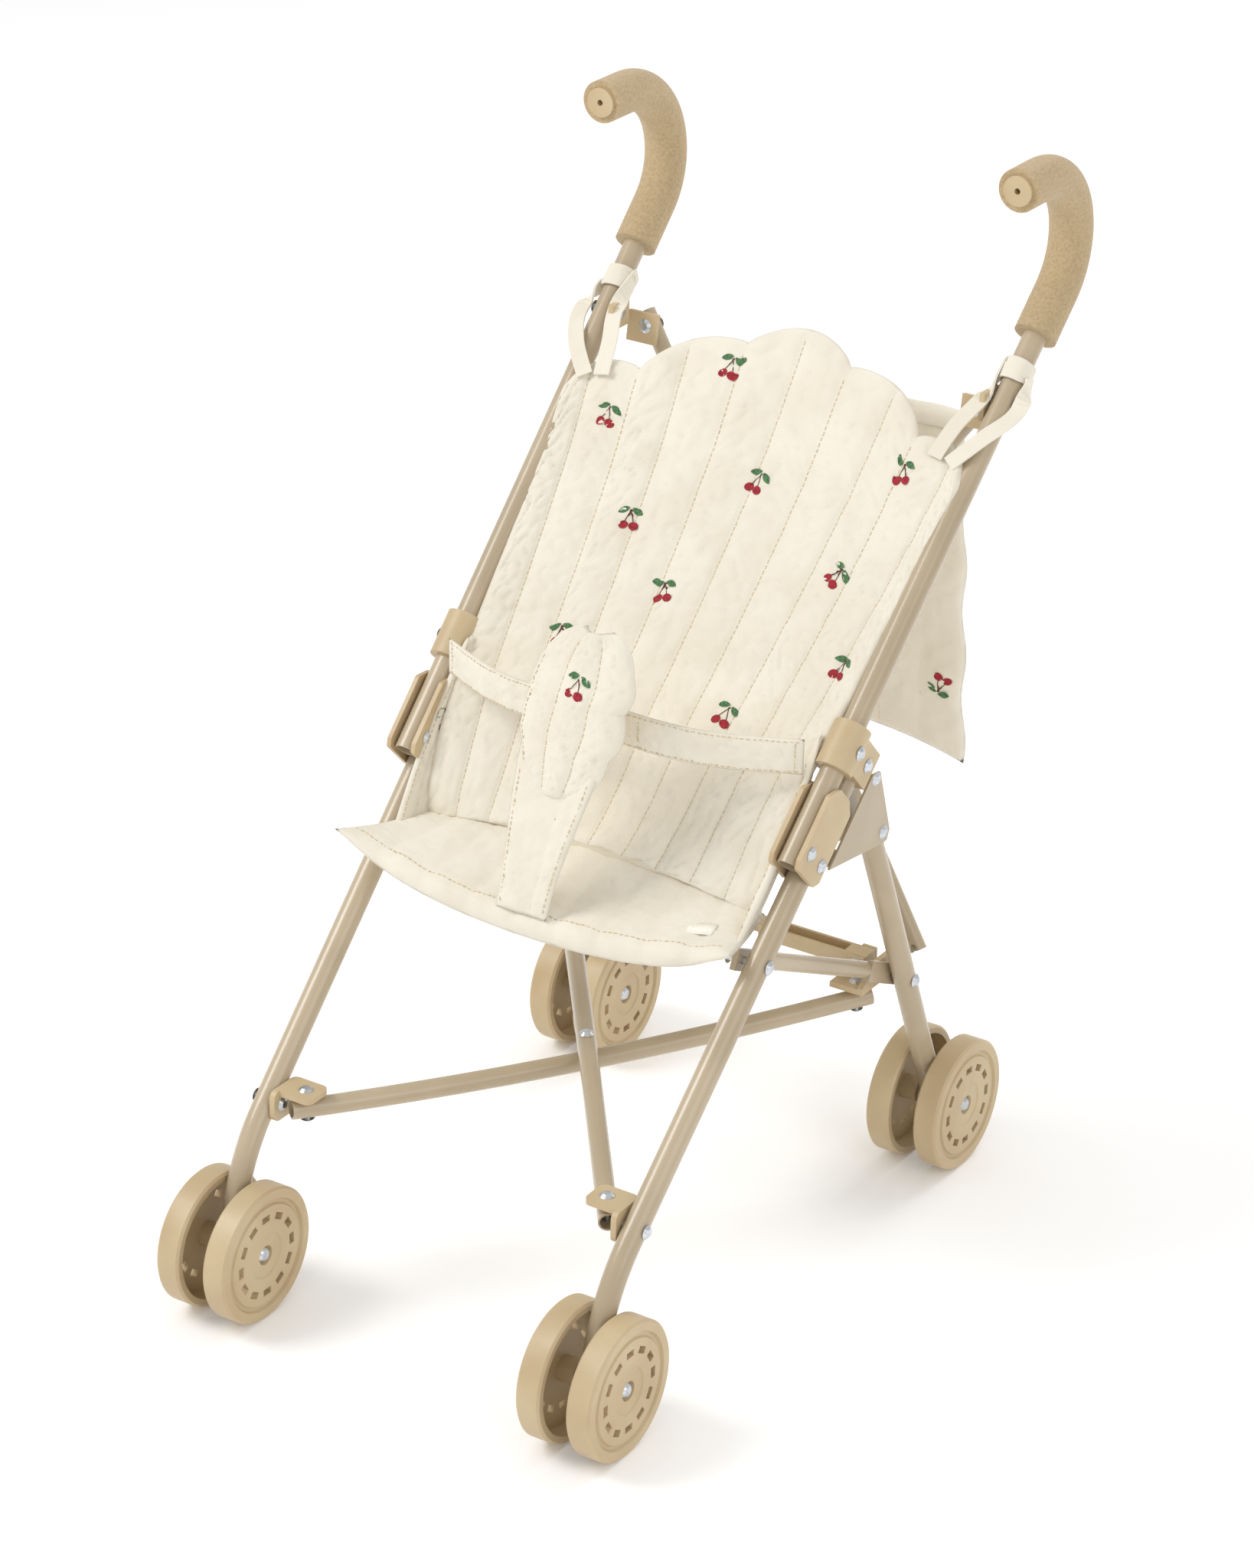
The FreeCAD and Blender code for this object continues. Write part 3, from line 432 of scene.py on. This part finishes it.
def sew_seams(shape, panel, seams, low=0.02, high=0.98):
    """Stitch lines along the panel's seams."""
    total = 0
    for seam in seams:
        total += stitch_line(shape, lambda s: panel.front(seam, mix(low, high, s), 0.15 * MM),
                             lambda s: panel.normal(seam, mix(low, high, s)))
    return total


print("stitch helpers ready")

# %% [markdown]
# ## Cherries
# The print is flat ink shapes laid a hair above the cloth: each point of a cherry, leaf or stem is
# placed by the panel's own surface, so it follows the puffs.

# %% Cherries
def print_shape(shape, panel, u, v, outline, ink_index, lift):
    """Lay a filled outline, given in millimetres round (u, v), on the panel's cloth."""
    step = 0.01
    per_u = (panel.middle(u + step, v) - panel.middle(u - step, v)).length / (2 * step) / MM
    per_v = (panel.middle(u, v + step) - panel.middle(u, v - step)).length / (2 * step) / MM
    lean = (panel.middle(u, v + step) - panel.middle(u, v - step)).normalized()
    wide = (panel.middle(u + step, v) - panel.middle(u - step, v)).normalized()
    skew = lean.dot(wide)
    verts = []
    for x, y in outline:
        y_true = y / math.sqrt(max(0.2, 1 - skew * skew))
        du, dv = (x - y_true * skew) / per_u, y_true / per_v
        verts.append(shape.verts.new(panel.front(max(-0.999, min(0.999, u + du)),
                                                 max(0.001, min(0.999, v + dv)), lift * MM)))
    middle = shape.verts.new(panel.front(u + (sum(p[0] for p in outline) / len(outline)) / per_u,
                                         v + (sum(p[1] for p in outline) / len(outline)) / per_v, lift * MM))
    for a, b in zip(verts, verts[1:] + verts[:1]):
        face = shape.faces.new((middle, a, b))
        face.material_index = ink_index
        face.normal_update()
        if face.normal.dot(panel.facing) < 0:
            face.normal_flip()


def oval(cx, cy, long, wide, turn, points=14, pointed=0.0):
    """An oval, or a leaf if it is pointed, as outline points."""
    outline = []
    for index in range(points):
        angle = 2 * math.pi * index / points
        x = long * math.cos(angle)
        y = wide * math.sin(angle) * (1 - pointed * abs(math.cos(angle)) ** 2)
        outline.append((cx + x * math.cos(turn) - y * math.sin(turn),
                        cy + x * math.sin(turn) + y * math.cos(turn)))
    return outline


def strip(x0, y0, x1, y1, half):
    """A thin straight strip as outline points."""
    run = math.hypot(x1 - x0, y1 - y0)
    nx, ny = -(y1 - y0) / run * half, (x1 - x0) / run * half
    return [(x0 + nx, y0 + ny), (x1 + nx, y1 + ny), (x1 - nx, y1 - ny), (x0 - nx, y0 - ny)]


def cherries(shape, panel, u, v, turn):
    """A pair of cherries on two stems under two leaves, about 14 mm wide."""
    def laid(outline):
        c, s = math.cos(turn), math.sin(turn)
        return [(x * c - y * s, x * s + y * c) for x, y in outline]

    for stem in (strip(-0.2, 4.4, -1.6, 1.4, 0.22), strip(-1.6, 1.4, -2.9, -1.2, 0.22),
                 strip(-0.1, 4.4, 1.0, 1.2, 0.22), strip(1.0, 1.2, 1.6, -1.6, 0.22),
                 strip(-0.4, 4.2, 0.2, 5.6, 0.4)):
        print_shape(shape, panel, u, v, laid(stem), BROWN, 0.22)
    for leaf in (oval(-3.6, 5.6, 3.3, 1.75, 0.3, pointed=0.55),
                 oval(3.6, 4.4, 3.4, 1.8, -0.55, pointed=0.55)):
        print_shape(shape, panel, u, v, laid(leaf), GREEN, 0.26)
    for fruit in (oval(-3.2, -2.9, 2.5, 2.2, 0.5), oval(2.0, -3.4, 2.7, 2.25, -0.2)):
        print_shape(shape, panel, u, v, laid(fruit), RED, 0.26)


print("print helpers ready")

# %% [markdown]
# ## Seat back
# The back fans out like a scallop shell: the seams start close together at the crease and run to the
# notches and crests of five lobes along the top. So the panel is ruled: each line of the grid runs
# straight from the crease to a point on the lobed edge. The middle hangs back between the tubes.

# %% Seat back
CREASE = 86.0
NOTCHES = [(-116, 303), (-81, 330), (-30, 358), (30, 358), (81, 330), (116, 303)]
CROWNS = [13.0, 10.0, 15.0, 10.0, 13.0]


def lobed_edge(u):
    """The shell's edge, across and along, for u from -1 to 1: five arcs between notches."""
    spot = (u + 1) / 2 * 5
    lobe = min(4, int(spot))
    share = spot - lobe
    (x0, a0), (x1, a1) = NOTCHES[lobe], NOTCHES[lobe + 1]
    run = math.hypot(x1 - x0, a1 - a0)
    rise = CROWNS[lobe] * math.sin(math.pi * share) ** 0.75
    return (mix(x0, x1, share) - (a1 - a0) / run * rise, mix(a0, a1, share) + (x1 - x0) / run * rise)


def crease(u):
    """Where the back meets the base."""
    return place(u * 98, -9 - 4 * (1 - u * u), 213 + 9 * (1 - u * u))


def back_middle(u, v):
    """v runs from the crease, 0, to the shell's edge, 1."""
    x_top, a_top = lobed_edge(u)
    x = mix(u * 99, x_top, v)
    along = mix(CREASE, a_top, v)
    hollow = 17 * (1 - u * u) * math.sin(math.pi * min(1.0, 0.12 + 0.82 * v)) ** 0.8
    low_curve = 10 * (1 - smooth_step(v / 0.3))
    behind = -17 + hollow + low_curve - 3 * smooth_step((v - 0.75) / 0.25)
    return mix(crease(u), on_leg(x, along, behind), smooth_step(v / 0.14))


BACK_SEAMS = [-0.8 + 0.2 * i for i in range(9)]
BACK_CHERRIES = ((-0.22, 0.94, 0.05), (-0.66, 0.875, 0.05), (0.02, 0.71, -0.1), (-0.42, 0.63, -0.1),
                 (0.62, 0.91, 0.1), (-0.17, 0.49, -0.1), (0.54, 0.65, 0.15), (0.82, 0.49, 0.2),
                 (0.36, 0.3, 0.0), (-0.54, 0.385, -0.1))      # u, v and turn
back_panel = Panel(back_middle, BACK_SEAMS, 4.2, -BEHIND, wrinkle=1.1, seed=3.1, edge=0.03)
back_shape = bmesh.new()
sew_panel(back_shape, back_panel, 150, 140)
back_stitches = sew_seams(back_shape, back_panel, BACK_SEAMS)
for u, v, turn in BACK_CHERRIES:
    cherries(back_shape, back_panel, u, v, turn)
seat_back = new_piece("quilted_back", "left_frame", back_shape, PRINTED_CLOTH)
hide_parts("seat_back")
print("seat back:", len(seat_back.data.polygons), "faces,", back_stitches, "stitches")

# %% [markdown]
# ## Seat base
# The base is a short quilted shelf that rises to the crease. Its front edge bows forward between the legs
# and is turned under in a soft roll.

# %% Seat base
def base_middle(u, v):
    """v runs from the crease, 0, to the front edge, 1."""
    bow = 1 - u * u
    corner = abs(u) ** 2.2
    if u < 0:
        front = place(u * 116, -63, 201 + 19 * corner)
    else:
        front = place(u * 106, -63 + 13 * corner, 201 + 9 * corner)
    spot = mix(crease(u) + Vector((0, 3, -1)) * MM, front, v)
    spot.z -= 4.0 * MM * math.sin(math.pi * v) * (0.4 + 0.6 * bow)
    tuck = smooth_step((v - 0.84) / 0.16) * (1 - abs(u) ** 8)
    spot.z -= 9.0 * MM * tuck * tuck
    spot.y += 3.0 * MM * tuck * tuck
    return spot


BASE_SEAMS = [-0.8, -0.57, -0.34, -0.11, 0.11, 0.34, 0.57, 0.8]
base_panel = Panel(base_middle, BASE_SEAMS, 3.4, Vector((0, -0.3, 1)), wrinkle=0.8, seed=8.4, edge=0.09)
base_shape = bmesh.new()
sew_panel(base_shape, base_panel, 96, 36)
base_stitches = sew_seams(base_shape, base_panel, BASE_SEAMS, 0.05, 0.8)
base_stitches += stitch_line(base_shape, lambda s: base_panel.front(mix(-0.97, 0.97, s), 0.86, 0.15 * MM),
                             lambda s: base_panel.normal(mix(-0.97, 0.97, s), 0.86))
seat_base = new_piece("quilted_base", "left_frame", base_shape, [cotton, thread])
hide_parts("seat_base")
print("seat base:", len(seat_base.data.polygons), "faces,", base_stitches, "stitches")

# %% [markdown]
# ## Side wings
# Each wing closes the seat between the base and the back's edge. It is a triangle with one free edge that
# runs beside the tube, from the front corner up to the belt.

# %% Side wings
for side in (-1, 1):
    def wing_middle(u, v, side=side):
        """u runs from the back's edge to the free edge, v from the base up."""
        share = (u + 1) / 2
        top = on_leg(side * 101.5, 168, -20)
        rear_foot = place(side * 95, -6, 212)
        front_foot = place(side * 101, -38, 207)
        foot = mix(rear_foot, front_foot, share)
        spot = mix(foot, top + (front_foot - rear_foot) * 0.16 * share, v)
        spot.x += side * 2.5 * MM * math.sin(math.pi * v)
        return spot

    wing_panel = Panel(wing_middle, [0.1], 2.6, Vector((-side, -0.4, 0.2)), wrinkle=0.6,
                       seed=5.0 + side, edge=0.12)
    wing_shape = bmesh.new()
    sew_panel(wing_shape, wing_panel, 28, 44)
    sew_seams(wing_shape, wing_panel, [0.1, 0.8], 0.05, 0.9)
    cherries(wing_shape, wing_panel, -0.2, 0.55, 0.2)
    wing = new_piece("side_wing_" + ("left" if side < 0 else "right"), "left_frame", wing_shape,
                     PRINTED_CLOTH)
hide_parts("seat_sides")

# %% [markdown]
# ## Crotch strap
# A padded strap stands up from the front edge. Its round head folds over the lap belt's two halves.

# %% Crotch strap
def strap_middle(u, v):
    """v runs from the front edge up to the fold."""
    spot = mix(place(-7, -60, 204), place(3, -21, 318), v)
    spot.y -= 4 * MM * math.sin(math.pi * v)
    spot.x += u * mix(14.5, 24, smooth_step(v / 0.8)) * MM
    return spot


strap_panel = Panel(strap_middle, [0.35], 2.2, Vector((0, -1, 0.3)), wrinkle=0.8, seed=12.2, edge=0.08)
strap_shape = bmesh.new()
sew_panel(strap_shape, strap_panel, 24, 60)
sew_seams(strap_shape, strap_panel, [-0.86, 0.35, 0.86], 0.03, 0.6)
crotch_strap = new_piece("crotch_strap_pad", "left_frame", strap_shape, [cotton, thread])


def head_middle(u, v):
    """The folded head: v = 0 is its scalloped lower edge, v = 1 its round top."""
    scallop = 3.2 * abs(math.sin(3.5 * math.pi * v)) * smooth_step((0.85 - v) / 0.2)
    dome = (1 - max(0.0, (v - 0.6) / 0.41) ** 3) ** 0.5
    width = mix(16, 27, smooth_step(v / 0.4)) * dome + scallop * (1 if u > 0 else 0.25)
    low, high = place(-1, -41, 262), place(6, -15, 341)
    spot = mix(low, high, v)
    spot.y -= (4 + 4 * math.sin(math.pi * v)) * MM
    spot.y += 6 * MM * u * u
    spot.x += u * width * MM
    return spot


HEAD_HEM = -0.88
head_panel = Panel(head_middle, [-0.3, 0.35], 3.0, Vector((0, -1, 0.25)), wrinkle=0.9, seed=15.7, edge=0.09)
head_shape = bmesh.new()
sew_panel(head_shape, head_panel, 40, 52)
sew_seams(head_shape, head_panel, [-0.3, 0.35], 0.05, 0.95)
stitch_line(head_shape, lambda s: head_panel.front(HEAD_HEM, mix(0.1, 0.8, s), 0.15 * MM),
            lambda s: head_panel.normal(HEAD_HEM, mix(0.1, 0.8, s)))
cherries(head_shape, head_panel, 0.05, 0.68, -0.1)
strap_head = new_piece("crotch_strap_head", "left_frame", head_shape, PRINTED_CLOTH)
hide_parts("crotch_strap")
print("crotch strap and head:", len(crotch_strap.data.polygons) + len(strap_head.data.polygons), "faces")

# %% [markdown]
# ## Lap belt
# Each half is a flat padded strap, stitched along both edges and across at two places, that runs from
# beside the tube to the crotch strap.

# %% Lap belt
for side, name in ((-1, "lap_belt_left"), (1, "lap_belt_right")):
    def belt_middle(u, v, side=side):
        """v runs from the frame to the strap, u from the belt's low edge to its high edge."""
        outer, inner = place(side * 103, 17, 288), place(side * 6, -14, 294)
        spot = mix(outer, inner, v)
        spot.y -= 6 * MM * math.sin(math.pi * v) ** 1.2
        spot.z += u * 9.4 * MM - 2.0 * MM * math.sin(math.pi * v)
        return spot

    belt_panel = Panel(belt_middle, [], 1.7, Vector((0, -1, 0.1)), wrinkle=0.7, seed=20 + side, edge=0.12)
    belt_shape = bmesh.new()
    sew_panel(belt_shape, belt_panel, 14, 70)
    for edge_u in (-0.84, 0.84):
        stitch_line(belt_shape, lambda s: belt_panel.front(edge_u, mix(0.02, 0.98, s), 0.12 * MM),
                    lambda s: belt_panel.normal(edge_u, mix(0.02, 0.98, s)))
    for end_v in (0.04, 0.78):
        stitch_line(belt_shape, lambda s: belt_panel.front(mix(-0.9, 0.9, s), end_v, 0.12 * MM),
                    lambda s: belt_panel.normal(mix(-0.9, 0.9, s), end_v))
    belt = new_piece(name + "_webbing", "left_frame", belt_shape, [cotton, thread])
    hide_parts(name)
print("lap belt sewn")

# %% [markdown]
# ## Tape
# A tape is a ribbon that follows a list of places, with a smooth curve between them.

# %% Ribbon helper
def ribbon(shape, centres, normals, half_wide, half_thick):
    """A flat tape along centres, facing the normals: a rectangle carried along, with closed ends."""
    rings = []
    for index, (centre, normal) in enumerate(zip(centres, normals)):
        ahead = centres[min(index + 1, len(centres) - 1)] - centres[max(index - 1, 0)]
        side = ahead.cross(normal).normalized() * half_wide
        up = side.cross(ahead).normalized() * half_thick
        corners = [centre + side + up, centre - side + up, centre - side - up, centre + side - up]
        rings.append([shape.verts.new(corner) for corner in corners])
    for ring, after in zip(rings, rings[1:]):
        for i in range(4):
            shape.faces.new((ring[i], ring[(i + 1) % 4], after[(i + 1) % 4], after[i]))
    shape.faces.new(rings[0][::-1])
    shape.faces.new(rings[-1])


def curve_points(points, count):
    """Places evenly spread on a smooth curve through the points."""
    found = []
    for step in range(count + 1):
        spot = step / count * (len(points) - 1)
        index = min(int(spot), len(points) - 2)
        share = spot - index
        before = points[max(index - 1, 0)]
        a, b = points[index], points[index + 1]
        after = points[min(index + 2, len(points) - 1)]
        found.append(0.5 * (2 * a + (b - before) * share + (2 * before - 5 * a + 4 * b - after) * share ** 2
                            + (3 * a - before - 3 * b + after) * share ** 3))
    return found


print("tape helper ready")

# %% [markdown]
# ## Top ties
# A flat tape is sewn to each shoulder of the shell, goes round the handle tube above the brace rivet and
# comes back.

# %% Ties round the handles
TIE_LOOP = 7.6              # from the tube's middle to the tape's, in millimetres
TIE_HALF_WIDE = 4.2
TIE_HALF_THICK = 0.55
TIE_STEPS = 28
for side, name in ((-1, "left"), (1, "right")):
    tube_x = side * (105.9 + math.tan(math.radians(1.52)) * (434 - 35.5))
    loop_centre = on_leg(tube_x, 375, -15.3)
    across = Vector((side, 0, 0))
    ring = []
    for step in range(TIE_STEPS):
        angle = math.radians(90 - 20 * step)
        ring.append(loop_centre + (across * math.sin(angle) - BEHIND * math.cos(angle)) * TIE_LOOP * MM
                    + ALONG * (5 * step / (TIE_STEPS - 1) - 2.5) * MM)
    outer_way = [on_leg(side * 106, 317, -23), on_leg(side * 118, 333, -25),
                 on_leg(side * 127, 352, -20), ring[0]]
    inner_way = [ring[-1], on_leg(side * 107, 356, -21), on_leg(side * 101, 338, -23),
                 on_leg(side * 97, 319, -23)]
    route = curve_points(outer_way[:-1] + ring[::3] + inner_way, 140)
    normals = []
    for spot in route:
        outward = spot - loop_centre
        outward -= ALONG * outward.dot(ALONG)
        toward = smooth_step(((spot - loop_centre).length / MM - 10) / 14)
        normals.append((outward.normalized() * (1 - toward) - BEHIND * toward).normalized())
    tie_shape = bmesh.new()
    ribbon(tie_shape, route, normals, TIE_HALF_WIDE * MM, TIE_HALF_THICK * MM)
    bmesh.ops.recalc_face_normals(tie_shape, faces=list(tie_shape.faces))
    tie = new_piece("top_tie_" + name, "left_frame" if side < 0 else "right_frame", tie_shape, [cotton])
    for polygon in tie.data.polygons:
        polygon.use_smooth = False
    if side < 0:
        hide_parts("top_ties")
        left_tie = tie
    else:
        right_tie = tie
print("ties tied")

# %% [markdown]
# ## Storage bag
# The bag behind the braces is a flat quilted pocket with upright channels. It hangs from a rolled top
# hem, is a little fuller low down, and its bottom corners drop to soft points.

# %% Storage bag
def bag_middle(depth):
    """The middle surface of the bag's front or rear cloth, which bulges by depth."""
    def middle(u, v):
        """v runs from the bottom, 0, to the hem, 1."""
        full = depth * math.sin(math.pi * min(1, 0.25 + 0.75 * v)) ** 0.7 * (1 - abs(u) ** 3)
        x = u * mix(84, 80, v) + math.copysign(1.3, u) * math.sin(24 * v) * abs(u) ** 5
        z = mix(209 - 8 * abs(u) ** 3 + 5 * (1 - u * u), 392, v)
        y = mix(218, 208, v) + full
        return place(x, y, z)
    return middle


BAG_SEAMS = [-0.72, -0.43, -0.14, 0.14, 0.43, 0.72]
BAG_CHERRIES = ((0.86, 0.22, 3.1), (0.3, 0.6, 0.1), (-0.3, 0.25, 0.2), (-0.7, 0.75, 2.9),
                (0.6, 0.86, 0.0))      # u, v and turn
HEM_RADIUS, HEM_LENGTH, HEM_STEPS = 5.6, 162, 36
bag_shape = bmesh.new()
for depth, facing in ((-6.0, Vector((0, -1, 0))), (4.5, Vector((0, 1, 0)))):
    bag_panel = Panel(bag_middle(depth), BAG_SEAMS, 3.0, facing, wrinkle=0.9, seed=30 + depth,
                      edge=0.04, back_share=0.3)
    sew_panel(bag_shape, bag_panel, 84, 64)
    sew_seams(bag_shape, bag_panel, BAG_SEAMS)
    for u, v, turn in BAG_CHERRIES:
        cherries(bag_shape, bag_panel, u, v, turn)
bag = new_piece("quilted_bag", "left_frame", bag_shape, PRINTED_CLOTH)
hem_shape = bmesh.new()
hem_circle = bmesh.ops.create_circle(hem_shape, cap_ends=True, segments=20,
                                     radius=HEM_RADIUS * MM)["verts"]
bmesh.ops.rotate(hem_shape, verts=hem_circle, matrix=Matrix.Rotation(math.pi / 2, 3, "Y"))
bmesh.ops.translate(hem_shape, verts=hem_circle, vec=place(-81, 208, 393))
hem_face = list(hem_shape.faces)
for index in range(HEM_STEPS):
    grown = bmesh.ops.extrude_face_region(hem_shape, geom=hem_face)["geom"]
    hem_face = [item for item in grown if isinstance(item, bmesh.types.BMFace)]
    ring = [item for item in grown if isinstance(item, bmesh.types.BMVert)]
    sway = 0.5 * math.sin(index * 0.9) * MM
    bmesh.ops.translate(hem_shape, verts=ring,
                        vec=Vector((HEM_LENGTH / HEM_STEPS * MM, sway * 0.3, sway * 0.5)))
bmesh.ops.recalc_face_normals(hem_shape, faces=list(hem_shape.faces))
bag_hem = new_piece("bag_hem", "left_frame", hem_shape, [cotton])
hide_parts("storage_bag")
print("bag:", len(bag.data.polygons), "faces")

# %% [markdown]
# ## Small parts
# A blank woven tab is sewn to the base's right front corner.

# %% Label tab
tab_shape = bmesh.new()
tab_spot = base_panel.front(0.78, 0.55, 0.9 * MM)
tab_normal = base_panel.normal(0.78, 0.55)
tab_run = (base_panel.middle(0.84, 0.55) - base_panel.middle(0.72, 0.55)).normalized()
tab_path = [tab_spot + tab_run * x * MM + tab_normal * (0.5 * math.sin(x * 0.4)) * MM for x in range(-7, 8)]
ribbon(tab_shape, tab_path, [tab_normal] * len(tab_path), 4.6 * MM, 0.3 * MM)
bmesh.ops.recalc_face_normals(tab_shape, faces=list(tab_shape.faces))
tab = new_piece("blank_label_tab", "left_frame", tab_shape, [label_tape])
print("label tab sewn")

# %% [markdown]
# ## Cloth meshes
# The fold draws the right frame towards the left one. The sewn pieces, all but the ties, and the
# label tab each get a mesh of their own.

# %% Own meshes for the cloth
cloth_pieces = [found for found in bpy.data.objects
                if found.type == "MESH" and cotton.name in [m.name for m in found.data.materials if m]]
for piece in cloth_pieces:
    if piece.name in frame["nodes"] or piece in (left_tie, right_tie):
        continue
    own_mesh(piece)
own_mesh(tab)

# %% [markdown]
# ## Floor and light
# A pale floor, a large soft key from the left and front, a fill from the right, a rim light from behind
# and a bright even sky.

# %% Floor and lights
floor_shape = bmesh.new()
bmesh.ops.create_grid(floor_shape, x_segments=1, y_segments=1, size=6.0)
floor_mesh = bpy.data.meshes.new("studio_floor")
floor_shape.to_mesh(floor_mesh)
floor_shape.free()
floor = bpy.data.objects.new("studio_floor", floor_mesh)
bpy.context.scene.collection.objects.link(floor)
floor_paper, _ = surface("studio_paper", "#FFFFFF", 0.9, Emission_Color=(1, 1, 1, 1),
                         Emission_Strength=0.07)
floor_mesh.materials.append(floor_paper)
world = bpy.data.worlds.new("studio")
bpy.context.scene.world = world
world.use_nodes = True
world.node_tree.nodes["Background"].inputs["Color"].default_value = linear("#FFFFFF")
world.node_tree.nodes["Background"].inputs["Strength"].default_value = 0.7


def soft_light(name, spot, size, power):
    """A square area light that faces the seat; size in metres, power in watts."""
    data = bpy.data.lights.new(name, "AREA")
    data.size = size
    data.energy = power
    lamp = bpy.data.objects.new(name, data)
    bpy.context.scene.collection.objects.link(lamp)
    lamp.location = spot
    lamp.rotation_euler = (Vector((0, 0, 0.3)) - Vector(spot)).to_track_quat("-Z", "Y").to_euler()


soft_light("key", (-1.5, -1.2, 2.1), 1.1, 31)
soft_light("fill", (2.0, -0.8, 1.3), 1.4, 9)
soft_light("rim", (0.4, 2.0, 1.8), 1.2, 16)
bpy.context.scene.view_settings.view_transform = "Standard"
print("lights set")
